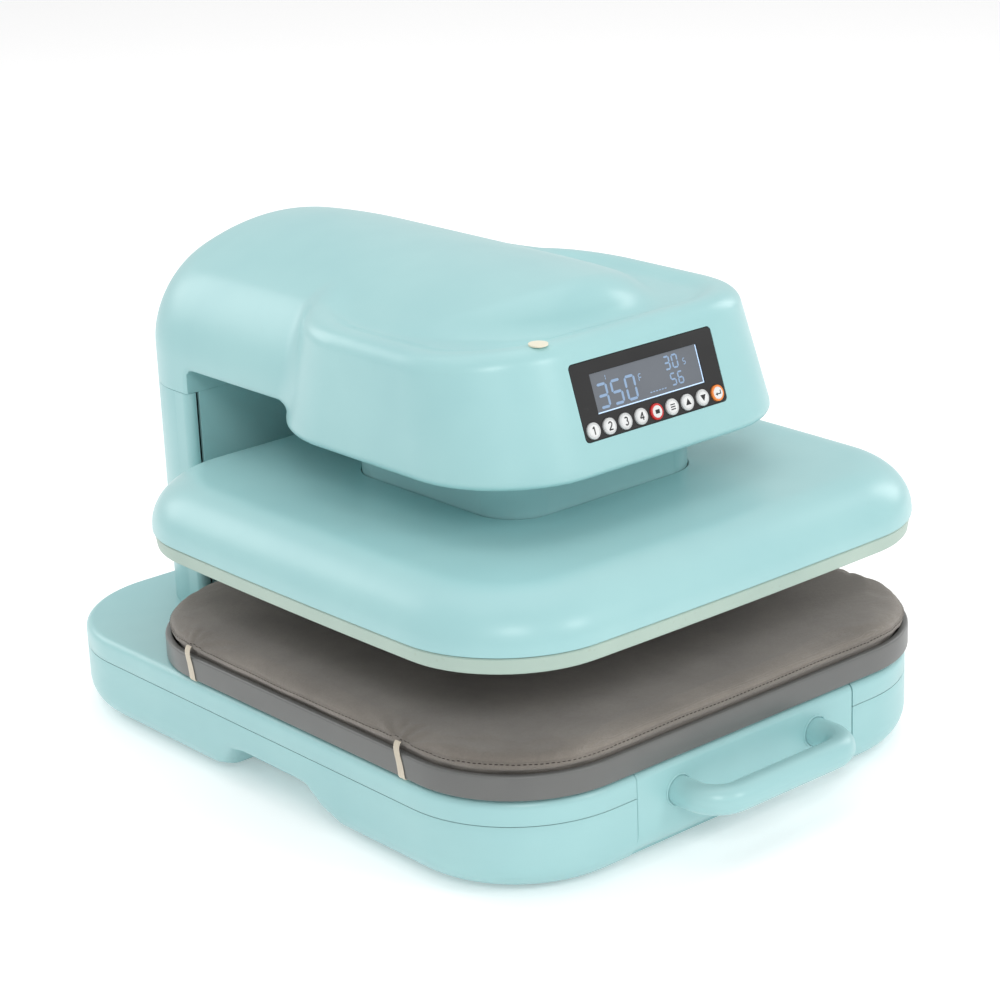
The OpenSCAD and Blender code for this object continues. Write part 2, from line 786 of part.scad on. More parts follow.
module fan_rotor() {
    blades = 7;
    color([0.2, 0.2, 0.21]) translate([fan_x, column_back - wall - 2.2, fan_z]) rotate([90, 0, 0])
        difference() {
            union() {
                cylinder(d = 20, h = 6);
                for (i = [0:blades - 1]) rotate([0, 0, i * 360 / blades])
                    translate([8, -5, 0.6]) rotate([25, 0, 0]) cube([fan_dia / 2 - 9.5, 10, 1.2]);
            }
            translate([0, 0, -1]) cylinder(d = axle_dia + 2 * run_gap, h = 10, $fn = 48);
        }
}

// ---- display ----------------------------------------------------------------------

module display_panel() {
    color(black) on_face() difference() {
        translate([0, 0, -panel_t]) linear_extrude(height = panel_t) rounded_rect(panel_w, panel_h, 3);
        translate([-lcd_w / 2, lcd_row - lcd_h / 2, -panel_t - 1]) cube([lcd_w, lcd_h, panel_t + 2]);
        for (i = [0:8]) translate([button_first + i * button_pitch, button_row, -panel_t - 1])
            cylinder(d = button_dia + 2 * button_gap, h = panel_t + 2);
    }
}

module lcd_module() {
    color([0.45, 0.5, 0.58]) on_face() translate([-lcd_w / 2 + 0.2, lcd_row - lcd_h / 2 + 0.2, -5])
        cube([lcd_w - 0.4, lcd_h - 0.4, 4.4]);
}

module display_board() {
    color([0.1, 0.4, 0.2]) on_face() translate([-panel_w / 2 + 6, -panel_h / 2 + 5, -8.4])
        cube([panel_w - 12, panel_h - 10, 1.6]);
}

module face_button(i) {
    on_face() translate([button_first + i * button_pitch, button_row, 0]) {
        translate([0, 0, -4]) cylinder(d = button_dia, h = 4 + button_travel + 0.6);
        translate([0, 0, -5.6]) cylinder(d = 4, h = 1.7, $fn = 32);
    }
}

module button_1() color("white") face_button(0);
module button_2() color("white") face_button(1);
module button_3() color("white") face_button(2);
module button_4() color("white") face_button(3);
module button_stop() color([0.9, 0.2, 0.2]) face_button(4);
module button_set() color("white") face_button(5);
module button_up() color("white") face_button(6);
module button_down() color("white") face_button(7);
module button_enter() color([0.95, 0.5, 0.3]) face_button(8);

// ---- drive and guides ---------------------------------------------------------------

module drive_motor() {
    y = head_y + 34;
    z = beam_z + beam_t + motor_dia / 2 + 0.2;
    color([0.25, 0.26, 0.28]) translate([0, y, z]) rotate([-90, 0, 0]) cylinder(d = motor_dia, h = motor_len);
    color(steel) translate([0, y + motor_len - eps, z]) rotate([-90, 0, 0])
        cylinder(d = motor_dia * 0.6, h = 8);
    color(steel) translate([-motor_dia / 2, y + motor_len / 2 - 8, beam_z + beam_t])
        cube([motor_dia, 16, motor_dia * 0.3]);
}

module drive_gearbox() {
    z = beam_z + beam_t;
    color([0.3, 0.31, 0.33]) difference() {
        translate([-32, head_y - 32, z]) cube([64, 66 + eps, 30]);
        translate([0, head_y, z - 1]) cylinder(d = screw_dia + 10 + 2 * run_gap, h = 23);
    }
}

module lead_screw() {
    z0 = plate_z + plate_t + 10;
    z1 = beam_z + beam_t + 1;
    color(steel) translate([0, head_y, 0]) {
        translate([0, 0, z0]) cylinder(d = screw_dia, h = z1 - z0);
        translate([0, 0, z1 - eps]) cylinder(d = screw_dia + 10, h = 20);
    }
}

module screw_nut() {
    color([0.78, 0.62, 0.3]) translate([0, head_y, 0]) difference() {
        union() {
            translate([0, 0, lift_top - 36]) cylinder(d = screw_dia + 14, h = 36);
            translate([0, 0, lift_top - 10]) cylinder(d = screw_dia + 28, h = 4);
        }
        translate([0, 0, lift_top - 40]) cylinder(d = screw_dia + 2 * run_gap, h = 50);
    }
}

module guide_rods() {
    color([0.8, 0.81, 0.83]) for (p = rod_places()) translate([p[0], p[1], plate_z + plate_t + 4])
        cylinder(d = rod_dia, h = beam_z + beam_t - plate_z - plate_t - 4);
}

module guide_bushings() {
    color([0.78, 0.62, 0.3]) for (p = rod_places()) translate([p[0], p[1], lift_top - 28]) difference() {
        cylinder(d = rod_dia + 8, h = 28);
        translate([0, 0, -1]) cylinder(d = rod_dia + 2 * run_gap, h = 30);
    }
}

// Steel frame that stands on the platen's spreader plate and holds nut and bushings
module lift_frame() {
    w = lift_w;
    z0 = plate_z;
    color(steel) difference() {
        union() {
            translate([-w / 2, head_y - w / 2, lift_top - 6]) cube([w, w, 6]);
            translate([-w / 2, head_y - w / 2, z0]) cube([w, w, plate_t]);
            both_sides() translate([w / 2 - 4, head_y - w / 2, z0]) cube([4, w, lift_top - z0]);
            for (p = post_places()) translate([p[0], p[1], platen_z + platen_t])
                cylinder(d = post_dia, h = z0 - platen_z - platen_t + eps, $fn = 48);
        }
        translate([0, head_y, lift_top - 10]) cylinder(d = screw_dia + 14, h = 20);
        for (p = rod_places()) translate([p[0], p[1], lift_top - 10]) cylinder(d = rod_dia + 8, h = 20);
        for (p = rod_places()) translate([p[0], p[1], z0 - 1]) cylinder(d = rod_dia + 4, h = plate_t + 2);
        translate([0, head_y, z0 - 1]) cylinder(d = screw_dia + 10, h = plate_t + 2);
    }
}

function post_places() = [for (sx = [-1, 1], sy = [-1, 1])
    [sx * (lift_w / 2 - 10), head_y + sy * (lift_w / 2 - 22)]];

function platen_screw_places() = [for (sx = [-1, 1], sy = [-1, 1])
    [sx * (platen_w / 2 - 8), press_y + sy * 120]];

// ---- heated platen --------------------------------------------------------------------

module neck_shroud() {
    color(mint) translate([0, head_y, 0]) difference() {
        rounded_block(neck_w, neck_w, neck_r, dome_top - 6, neck_top - dome_top + 6);
        rounded_block(neck_w - 2 * wall, neck_w - 2 * wall, neck_r - wall,
            dome_top - 7, neck_top - dome_top + 8);
    }
}

// Domed outline of the cover, drawn in by "inset"
module dome_solid(inset) {
    w = cover_w - 2 * inset;
    d = cover_d - 2 * inset;
    r = cover_r - inset;
    e = dome_edge - inset;
    h = dome_h - 3 - inset;
    translate([0, press_y, 0]) hull() {
        for (a = [0:11.25:90])
            slab(w - 2 * e * (1 - cos(a)), d - 2 * e * (1 - cos(a)), r - e * (1 - cos(a)),
                dome_z + (h - slab_t) * sin(a));
        slab(w - 2 * e - 90, d - 2 * e - 90, max(r - e - 20, 12), dome_z + h + 2.6);
    }
}

module platen_cover() {
    color(mint) difference() {
        dome_solid(0);
        translate([0, 0, -eps * 10]) dome_solid(wall);
        translate([0, press_y, 0])
            rounded_block(cover_w - 2 * wall, cover_d - 2 * wall, cover_r - wall, dome_z - 1, 1.5);
        translate([0, head_y, 0]) rounded_block(neck_w + 1, neck_w + 1, neck_r + 0.5, dome_top - 12, 30);
    }
}

module insulation_band() {
    color(band_grey) translate([0, press_y, 0]) difference() {
        hull() {
            slab(cover_w - 5, cover_d - 5, cover_r - 2.5, band_z);
            slab(cover_w - 1.4, cover_d - 1.4, cover_r - 0.7, dome_z - slab_t);
        }
        rounded_block(platen_w + 2, platen_d + 2, cover_r - cover_lip + 1, band_z - 1, band_h + 2);
    }
}

module heat_platen() {
    color(black) translate([0, press_y, 0]) difference() {
        rounded_block(platen_w, platen_d, cover_r - cover_lip, platen_z, platen_t);
        for (p = platen_screw_places()) translate([p[0], p[1] - press_y, platen_z + platen_t - 6.4])
            cylinder(d = platen_screw + 0.2, h = 7, $fn = 32);
        translate([-platen_w / 2 + 30, 40, platen_z + platen_t / 2]) rotate([90, 0, 0])
            cylinder(d = 4.2, h = 30, $fn = 32);
    }
}

// Tubular heater bent back and forth across the platen
module heating_element() {
    z = platen_z + platen_t + 3.2;
    runs = 6;
    gap = (platen_w - 110) / (runs - 1);
    len = platen_d - 130;
    rod = 6.4;
    color([0.5, 0.45, 0.4]) translate([0, press_y, z]) for (i = [0:runs - 1]) {
        x = -(runs - 1) * gap / 2 + i * gap;
        even = i % 2 == 0;
        translate([x, -len / 2, 0]) rotate([-90, 0, 0]) cylinder(d = rod, h = len);
        if (i < runs - 1)
            translate([x + gap / 2, (even ? 1 : -1) * len / 2, 0]) rotate([0, 0, even ? 0 : 180])
                rotate_extrude(angle = 180) translate([gap / 2, 0]) circle(d = rod);
    }
}

module insulation_pad() {
    color([0.85, 0.84, 0.78]) translate([0, press_y, 0])
        difference() {
            rounded_block(platen_w - 30, platen_d - 30, 50, platen_z + platen_t + 7, 8);
            for (p = post_places()) translate([p[0], p[1] - press_y, platen_z])
                cylinder(d = post_dia + 1, h = platen_t + 20, $fn = 48);
        }
}

module platen_screws() {
    color(steel) for (p = platen_screw_places()) translate([p[0], p[1], platen_z + platen_t])
        screw(platen_screw, 6);
}

module thermocouple() {
    color([0.8, 0.7, 0.4]) translate([-platen_w / 2 + 30, press_y - 40, platen_z + platen_t])
        cylinder(d = 5, h = 5, $fn = 32);
}

// ---- electronics ------------------------------------------------------------------------

module control_board() {
    z = base_h + 30;
    y = column_front + 9;
    color([0.1, 0.4, 0.2]) translate([-55, y, z]) cube([110, 1.6, 110]);
    color(black) translate([-40, y - 4 + eps, z + 20]) cube([34, 4, 30]);
    color(black) translate([10, y - 5 + eps, z + 60]) cube([26, 5, 26]);
}

module power_supply() {
    color(steel) translate([-58, column_front + 24, base_h - 30]) cube([116, 26, 60]);
}

// ---- what is drawn -----------------------------------------------------------------------

base_bottom_shell();
base_top_shell();
chassis_plate();
rubber_feet();
foot_screws();
rail_outer();
rail_inner();
drawer_carriage();
drawer_front();
drawer_handle();
handle_screws();
tray_ring();
drawer_pan();
lower_platen();
silicone_pad();
pad_cover();
elastic_straps();
column_frame();
column_shell();
column_front_panel();
arm_beam();
head_shell();
head_floor();
head_plug();
rear_panel();
power_inlet();
rocker_housing();
rocker();
fan_frame();
fan_rotor();
display_panel();
lcd_module();
display_board();
button_1();
button_2();
button_3();
button_4();
button_stop();
button_set();
button_up();
button_down();
button_enter();
drive_motor();
drive_gearbox();
lead_screw();
screw_nut();
guide_rods();
guide_bushings();
lift_frame();
neck_shroud();
platen_cover();
insulation_band();
insulation_pad();
heating_element();
heat_platen();
platen_screws();
thermocouple();
control_board();
power_supply();
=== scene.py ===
# %% [markdown]
# # An automatic drawer heat press
#
# The object is a table-top heat press: a motor in the rounded head lowers a hot platen onto a
# padded drawer. The CAD model holds every size, joint and hidden mechanism. This lesson gives it
# its looks: smooth moulded shells, a fabric pad cover, a lit screen, and the finishes.
#
# Everything is in the CAD's own frame: +X is the operator's right, +Y the rear, +Z up. Shapes are
# thought out in millimetres here and turned into metres when a mesh is made.

# %% Load the CAD frame
import bpy
import bmesh
import json
import math
import numpy as np
from mathutils import Matrix, Vector


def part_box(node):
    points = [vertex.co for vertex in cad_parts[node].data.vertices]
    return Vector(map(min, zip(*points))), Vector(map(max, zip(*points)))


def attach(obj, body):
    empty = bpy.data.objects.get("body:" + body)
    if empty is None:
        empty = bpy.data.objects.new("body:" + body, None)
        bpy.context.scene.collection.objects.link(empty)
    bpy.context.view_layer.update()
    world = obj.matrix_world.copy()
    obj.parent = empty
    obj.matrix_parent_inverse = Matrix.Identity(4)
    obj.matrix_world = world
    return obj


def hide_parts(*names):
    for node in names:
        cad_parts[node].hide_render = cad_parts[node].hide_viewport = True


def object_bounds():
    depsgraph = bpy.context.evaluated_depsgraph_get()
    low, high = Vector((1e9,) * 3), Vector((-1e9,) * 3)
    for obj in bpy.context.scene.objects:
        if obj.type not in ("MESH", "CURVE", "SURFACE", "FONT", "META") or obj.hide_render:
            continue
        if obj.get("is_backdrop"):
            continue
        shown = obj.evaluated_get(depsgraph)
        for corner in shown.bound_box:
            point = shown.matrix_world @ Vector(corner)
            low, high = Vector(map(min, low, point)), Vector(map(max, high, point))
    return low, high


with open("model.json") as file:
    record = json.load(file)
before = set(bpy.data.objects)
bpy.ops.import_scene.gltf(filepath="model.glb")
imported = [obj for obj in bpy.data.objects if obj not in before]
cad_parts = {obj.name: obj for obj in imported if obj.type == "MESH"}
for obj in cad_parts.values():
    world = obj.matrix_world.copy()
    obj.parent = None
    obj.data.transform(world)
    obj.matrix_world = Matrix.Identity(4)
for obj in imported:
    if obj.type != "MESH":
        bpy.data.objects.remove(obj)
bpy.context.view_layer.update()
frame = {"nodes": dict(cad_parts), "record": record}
SCENE = bpy.context.scene
NODES = frame["nodes"]
MM = 0.001


def span(node):
    """Lowest and highest corner of a CAD node, in millimetres."""
    low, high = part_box(node)
    return np.array(low) / MM, np.array(high) / MM


# %% [markdown]
# ## Camera
#
# The camera stands in front and to the left, a little above the head. A long lens from almost two
# metres keeps the verticals nearly straight, as a product picture does. Its place is given as an
# aim point, a turn, a rise and a distance, which are easier to think about than coordinates.

# %% Make the camera
platen_low, platen_high = span("heat_platen")
cover_low, cover_high = span("platen_cover")
PRESS_Y = (platen_low[1] + platen_high[1]) / 2
CAMERA_TURN = math.radians(-40.26)
CAMERA_RISE = math.radians(18.972)
CAMERA_ROLL = -0.041
CAMERA_DISTANCE = 1.9168
CAMERA_LENS = 96.48
AIM = Vector((6.7, PRESS_Y + 39.16, cover_low[2] - 0.1)) * MM


def make_camera():
    back = Vector((math.sin(CAMERA_TURN) * math.cos(CAMERA_RISE),
                   -math.cos(CAMERA_TURN) * math.cos(CAMERA_RISE), math.sin(CAMERA_RISE)))
    right = Vector((math.cos(CAMERA_TURN), math.sin(CAMERA_TURN), 0))
    up = back.cross(right)
    right, up = (right * math.cos(CAMERA_ROLL) + up * math.sin(CAMERA_ROLL),
                 up * math.cos(CAMERA_ROLL) - right * math.sin(CAMERA_ROLL))
    data = bpy.data.cameras.new("camera")
    data.sensor_width = 36
    data.lens = CAMERA_LENS
    data.clip_end = 50
    cam = bpy.data.objects.new("camera", data)
    SCENE.collection.objects.link(cam)
    turn = Matrix((right, up, back)).transposed().to_4x4()
    cam.matrix_world = Matrix.Translation(AIM + back * CAMERA_DISTANCE) @ turn
    SCENE.camera = cam
    return cam


camera = make_camera()
print("camera at", [round(v, 3) for v in camera.matrix_world.translation])

# %% [markdown]
# ## Floor and studio light
#
# A product picture of a pastel machine is lit from large soft boxes, so that edges turn gently and
# a gloss corner shows one soft patch of light. A pale sky fills the shadows, and two boxes in front
# draw the small highlights on the rounded cover. The floor is plain and nearly white.

# %% Make the floor, the sky and the soft boxes
FLOOR_LIFT = 0.22
FLOOR_HALF = 6


def make_floor():
    mesh = bpy.data.meshes.new("floor")
    r = FLOOR_HALF
    mesh.from_pydata([(-r, -r, 0), (r, -r, 0), (r, r, 0), (-r, r, 0)], [], [(0, 1, 2, 3)])
    floor = bpy.data.objects.new("floor", mesh)
    SCENE.collection.objects.link(floor)
    paint = bpy.data.materials.new("studio_floor")
    paint.use_nodes = True
    shader = paint.node_tree.nodes["Principled BSDF"]
    shader.inputs["Base Color"].default_value = (0.93, 0.93, 0.93, 1)
    shader.inputs["Roughness"].default_value = 0.6
    shader.inputs["Specular IOR Level"].default_value = 0.2
    shader.inputs["Emission Color"].default_value = (1, 1, 1, 1)
    shader.inputs["Emission Strength"].default_value = FLOOR_LIFT
    mesh.materials.append(paint)
    floor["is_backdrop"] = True
    return floor


def make_sky(strength):
    world = bpy.data.worlds.new("studio")
    world.use_nodes = True
    world.node_tree.nodes["Background"].inputs["Color"].default_value = (1, 1, 1, 1)
    world.node_tree.nodes["Background"].inputs["Strength"].default_value = strength
    SCENE.world = world


def soft_box(name, place, target, size, power):
    data = bpy.data.lights.new(name, "AREA")
    data.shape = "RECTANGLE"
    data.size, data.size_y = size
    data.energy = power
    lamp = bpy.data.objects.new(name, data)
    SCENE.collection.objects.link(lamp)
    lamp.location = place
    lamp.rotation_euler = (Vector(target) - Vector(place)).to_track_quat("-Z", "Y").to_euler()
    return lamp


make_floor()
make_sky(0.72)
soft_box("key_box", (-1.5, -1.9, 1.9), (0, 0, 0.2), (0.8, 0.8), 16)
soft_box("front_box", (0.7, -2.4, 1.5), (0, 0, 0.2), (0.7, 0.7), 11)
soft_box("top_box", (0.2, 0.4, 2.6), (0, 0, 0.2), (2.4, 2.4), 14)
soft_box("right_box", (2.3, -0.2, 1.2), (0, 0, 0.2), (0.7, 1.2), 9)
soft_box("rear_box", (-0.8, 2.4, 1.6), (0, 0, 0.2), (1.4, 1.4), 14)
SCENE.view_settings.view_transform = "Standard"

# %% [markdown]
# ## Shared surface effects
#
# Real surfaces are never one flat colour. Moulded plastic has a fine spark-eroded grain, rolled
# metal has long scratches, cloth has crossing threads. Each effect is a small node group with named
# inputs, so that every material can use it at its own scale. The groups give out only masks and
# heights; the shader itself stays in each material.

# %% Node group helpers
def new_group(name, inputs, outputs):
    """Empty node group: inputs are (name, default) numbers, outputs are names of numbers."""
    group = bpy.data.node_groups.new(name, "ShaderNodeTree")
    for label, value in inputs:
        sock = group.interface.new_socket(label, in_out="INPUT", socket_type="NodeSocketFloat")
        sock.default_value = value
    for label in outputs:
        group.interface.new_socket(label, in_out="OUTPUT", socket_type="NodeSocketFloat")
    start = group.nodes.new("NodeGroupInput")
    end = group.nodes.new("NodeGroupOutput")
    return group, start, end


def object_place(tree, stretch=None):
    """The object's own coordinates, optionally stretched along one axis."""
    coords = tree.nodes.new("ShaderNodeTexCoord")
    if stretch is None:
        return coords.outputs["Object"]
    mapping = tree.nodes.new("ShaderNodeMapping")
    mapping.inputs["Scale"].default_value = stretch
    tree.links.new(coords.outputs["Object"], mapping.inputs["Vector"])
    return mapping.outputs["Vector"]


def maths(tree, kind, a, b=None, clamp=False):
    """One math node; a and b may be numbers or sockets."""
    node = tree.nodes.new("ShaderNodeMath")
    node.operation = kind
    node.use_clamp = clamp
    for i, v in enumerate((a, b)):
        if v is None:
            continue
        if isinstance(v, (int, float)):
            node.inputs[i].default_value = v
        else:
            tree.links.new(v, node.inputs[i])
    return node.outputs[0]


def noise(tree, place, scale, detail=2.0, rough=0.5):
    """A noise texture's height, 0 to 1."""
    node = tree.nodes.new("ShaderNodeTexNoise")
    node.inputs["Detail"].default_value = detail
    node.inputs["Roughness"].default_value = rough
    if isinstance(scale, (int, float)):
        node.inputs["Scale"].default_value = scale
    else:
        tree.links.new(scale, node.inputs["Scale"])
    tree.links.new(place, node.inputs["Vector"])
    return node.outputs["Fac"]


def make_moulded_grain():
    """Fine grain of a moulded or cast surface, with slow cloudy variation."""
    group, start, end = new_group("moulded_grain", [("Fine Scale", 900.0), ("Cloud Scale", 9.0)],
                                  ["Height", "Cloud", "Speck"])
    place = object_place(group)
    fine = noise(group, place, start.outputs["Fine Scale"], 3.0, 0.6)
    cloud = noise(group, place, start.outputs["Cloud Scale"], 3.0, 0.55)
    speck = maths(group, "GREATER_THAN", noise(group, place, 260.0, 1.0), 0.73)
    group.links.new(fine, end.inputs["Height"])
    group.links.new(cloud, end.inputs["Cloud"])
    group.links.new(speck, end.inputs["Speck"])
    return group


def make_drawn_metal():
    """Long fine lines of rolled or brushed metal, along Y."""
    group, start, end = new_group("drawn_metal", [("Line Scale", 240.0)], ["Height", "Cloud", "Speck"])
    lines = noise(group, object_place(group, (6.0, 0.15, 6.0)), start.outputs["Line Scale"], 4.0, 0.7)
    cloud = noise(group, object_place(group), 14.0, 3.0, 0.6)
    stain = maths(group, "GREATER_THAN", noise(group, object_place(group), 70.0, 2.0), 0.68)
    group.links.new(lines, end.inputs["Height"])
    group.links.new(cloud, end.inputs["Cloud"])
    group.links.new(stain, end.inputs["Speck"])
    return group


def make_plain_weave():
    """Two crossing sets of threads. Places repeat along X plus Z and along Y plus Z."""
    group, start, end = new_group("plain_weave", [("Threads", 1200.0), ("Slub Scale", 160.0)],
                                  ["Height", "Cloud", "Speck"])
    coords = group.nodes.new("ShaderNodeTexCoord")
    parts = group.nodes.new("ShaderNodeSeparateXYZ")
    group.links.new(coords.outputs["Object"], parts.inputs[0])
    turn = 2 * math.pi
    across = maths(group, "MULTIPLY", maths(group, "ADD", parts.outputs[0], parts.outputs[2]),
                   start.outputs["Threads"])
    along = maths(group, "MULTIPLY", maths(group, "SUBTRACT", parts.outputs[1], parts.outputs[2]),
                  start.outputs["Threads"])
    warp = maths(group, "SINE", maths(group, "MULTIPLY", across, turn))
    weft = maths(group, "SINE", maths(group, "MULTIPLY", along, turn))
    cross = maths(group, "MULTIPLY", warp, weft)
    slub = noise(group, coords.outputs["Object"], start.outputs["Slub Scale"], 4.0, 0.65)
    height = maths(group, "ADD", maths(group, "MULTIPLY", cross, 0.35), slub)
    cloud = noise(group, coords.outputs["Object"], 16.0, 4.0, 0.6)
    fleck = noise(group, coords.outputs["Object"], 620.0, 2.0, 0.8)
    group.links.new(height, end.inputs["Height"])
    group.links.new(cloud, end.inputs["Cloud"])
    group.links.new(fleck, end.inputs["Speck"])
    return group


GROUPS = {"moulded": make_moulded_grain(), "drawn": make_drawn_metal(), "woven": make_plain_weave()}
print("node groups", sorted(GROUPS))

# %% [markdown]
# ## Finishes
#
# One function makes every finish from the same recipe: a base colour that drifts towards a second
# one with the cloudy mask, a few specks of a third, a roughness that drifts a little, and a bump
# from the grain. Numbers that don't change over the surface sit on the shader's own sockets.

# %% Recipe for a finish
def colour_of(red, green, blue):
    """A colour as seen on a screen, 0 to 255, turned into the linear values a shader wants."""
    out = []
    for v in (red, green, blue):
        v = v / 255
        out.append(v / 12.92 if v <= 0.04045 else ((v + 0.055) / 1.055) ** 2.4)
    return (*out, 1.0)


def mix_colours(tree, fac, a, b):
    node = tree.nodes.new("ShaderNodeMix")
    node.data_type = "RGBA"
    tree.links.new(fac, node.inputs[0])
    for index, value in ((6, a), (7, b)):
        if isinstance(value, tuple):
            node.inputs[index].default_value = value
        else:
            tree.links.new(value, node.inputs[index])
    return node.outputs[2]


def map_range(tree, value, low, high, start=0.0, stop=1.0):
    node = tree.nodes.new("ShaderNodeMapRange")
    for index, number in ((1, start), (2, stop), (3, low), (4, high)):
        node.inputs[index].default_value = number
    tree.links.new(value, node.inputs[0])
    return node.outputs[0]


def finish_of(name, base, drift, rough, kind="moulded", speck=None, metal=0.0, bump=0.02,
              depth=0.00005, settings=None, **sizes):
    """A material: base and drift colours, (least, most) roughness, and a grain group."""
    mat = bpy.data.materials.new(name)
    mat.use_nodes = True
    tree = mat.node_tree
    shader = tree.nodes["Principled BSDF"]
    grain = tree.nodes.new("ShaderNodeGroup")
    grain.node_tree = GROUPS[kind]
    for label, value in sizes.items():
        grain.inputs[label.replace("_", " ").title()].default_value = value
    colour = mix_colours(tree, map_range(tree, grain.outputs["Cloud"], 0.0, 1.0, 0.35, 0.65),
                         colour_of(*base), colour_of(*drift))
    if speck is not None:
        amount, tint = speck
        mask = maths(tree, "MULTIPLY", grain.outputs["Speck"], amount, clamp=True)
        colour = mix_colours(tree, mask, colour, colour_of(*tint))
    tree.links.new(colour, shader.inputs["Base Color"])
    tree.links.new(map_range(tree, grain.outputs["Cloud"], rough[0], rough[1], 0.3, 0.7),
                   shader.inputs["Roughness"])
    shader.inputs["Metallic"].default_value = metal
    bumper = tree.nodes.new("ShaderNodeBump")
    bumper.inputs["Strength"].default_value = bump
    bumper.inputs["Distance"].default_value = depth
    tree.links.new(grain.outputs["Height"], bumper.inputs["Height"])
    tree.links.new(bumper.outputs["Normal"], shader.inputs["Normal"])
    for label, value in (settings or {}).items():
        shader.inputs[label].default_value = value
    return mat


# %% Every finish of the machine
MINT = (161, 205, 206)
FINISHES = {
    "mint_plastic": finish_of("mint_plastic", MINT, (155, 200, 202), (0.30, 0.38), bump=0.10,
                              speck=(0.03, (140, 170, 165)),
                              settings={"Coat Weight": 0.12, "Coat Roughness": 0.22}),
    "band_plastic": finish_of("band_plastic", (176, 196, 184), (166, 187, 176), (0.42, 0.55),
                              bump=0.15, speck=(0.12, (140, 140, 110))),
    "grey_paint": finish_of("grey_paint", (105, 106, 104), (98, 99, 98), (0.34, 0.44), bump=0.25,
                            fine_scale=1400.0, settings={"Coat Weight": 0.15, "Coat Roughness": 0.3}),
    "zinc_steel": finish_of("zinc_steel", (176, 180, 182), (150, 152, 150), (0.32, 0.5), "drawn",
                            speck=(0.25, (190, 188, 170)), metal=1.0, bump=0.2),
    "plate_aluminium": finish_of("plate_aluminium", (196, 198, 200), (172, 175, 178), (0.28, 0.42),
                                 "drawn", metal=1.0, bump=0.25, line_scale=420.0),
    "bright_steel": finish_of("bright_steel", (205, 207, 210), (188, 190, 194), (0.14, 0.26),
                              "drawn", metal=1.0, bump=0.1),
    "rubber_foot": finish_of("rubber_foot", (34, 34, 35), (48, 48, 48), (0.7, 0.85), bump=0.5,
                             speck=(0.3, (70, 70, 68)), fine_scale=500.0),
    "silicone": finish_of("silicone", (196, 96, 58), (182, 84, 50), (0.5, 0.62), bump=0.4,
                          fine_scale=300.0, settings={"Subsurface Weight": 0.05}),
    "pad_fabric": finish_of("pad_fabric", (152, 144, 134), (134, 127, 118), (0.82, 0.95), "woven",
                            speck=(0.55, (92, 87, 82)), bump=0.9, depth=0.0004,
                            settings={"Sheen Weight": 0.35, "Sheen Roughness": 0.5}),
    "elastic": finish_of("elastic", (226, 217, 200), (208, 198, 180), (0.8, 0.9), "woven",
                         speck=(0.3, (180, 168, 148)), bump=0.7, depth=0.0003, threads=900.0,
                         settings={"Sheen Weight": 0.2}),
    "cream_plastic": finish_of("cream_plastic", (233, 226, 205), (219, 205, 178), (0.35, 0.5), bump=0.1),
    "black_plastic": finish_of("black_plastic", (28, 29, 31), (40, 41, 43), (0.42, 0.56), bump=0.35,
                               fine_scale=700.0),
    "red_plastic": finish_of("red_plastic", (190, 26, 20), (168, 18, 16), (0.25, 0.36), bump=0.08),
    "black_gloss": finish_of("black_gloss", (24, 24, 25), (36, 36, 36), (0.30, 0.42), bump=0.25,
                             speck=(0.2, (58, 58, 58)), fine_scale=1600.0),
    "lcd_glass": finish_of("lcd_glass", (108, 113, 120), (98, 103, 110), (0.16, 0.24), bump=0.05),
    "green_board": finish_of("green_board", (22, 92, 52), (16, 70, 40), (0.3, 0.45), "drawn",
                             speck=(0.8, (60, 140, 80)), bump=0.4),
    "motor_paint": finish_of("motor_paint", (62, 64, 68), (50, 52, 56), (0.35, 0.5), bump=0.3),
    "bronze": finish_of("bronze", (188, 150, 86), (164, 124, 66), (0.28, 0.42), "drawn", metal=1.0),
    "fibre": finish_of("fibre", (222, 218, 200), (204, 196, 172), (0.85, 0.95), "woven", bump=0.9,
                       depth=0.0006, threads=300.0),
    "element": finish_of("element", (120, 110, 100), (92, 80, 70), (0.4, 0.6), metal=0.8, bump=0.3,
                         speck=(0.4, (150, 110, 80))),
    "nonstick_black": finish_of("nonstick_black", (34, 32, 31), (46, 43, 41), (0.4, 0.55), bump=0.4,
                                speck=(0.3, (70, 66, 62)), fine_scale=800.0),
    "white_button": finish_of("white_button", (232, 233, 232), (214, 216, 216), (0.35, 0.45), bump=0.1),
    "red_button": finish_of("red_button", (206, 44, 42), (188, 34, 34), (0.35, 0.45), bump=0.1),
    "orange_button": finish_of("orange_button", (240, 140, 60), (228, 122, 48), (0.35, 0.45), bump=0.1),
}
glow = FINISHES["glow"] = finish_of("screen_glow", (196, 222, 250), (180, 210, 246), (0.3, 0.4), bump=0.02)
glow.node_tree.nodes["Principled BSDF"].inputs["Emission Color"].default_value = colour_of(198, 224, 255)
glow.node_tree.nodes["Principled BSDF"].inputs["Emission Strength"].default_value = 0.35
print(len(FINISHES), "finishes")

# %% [markdown]
# ## Dress the CAD nodes
#
# Most inner parts are already the right shape in the CAD, so they only need their finish and a
# small softened edge, as any pressed or machined part has. The record says which slot each has.

# %% Finish every CAD node
def paint(obj, slot_name):
    """Puts a finish on all of an object's faces."""
    mesh = obj.data
    if not mesh.materials:
        mesh.materials.append(FINISHES[slot_name])
    for s in obj.material_slots:
        s.material = FINISHES[slot_name]


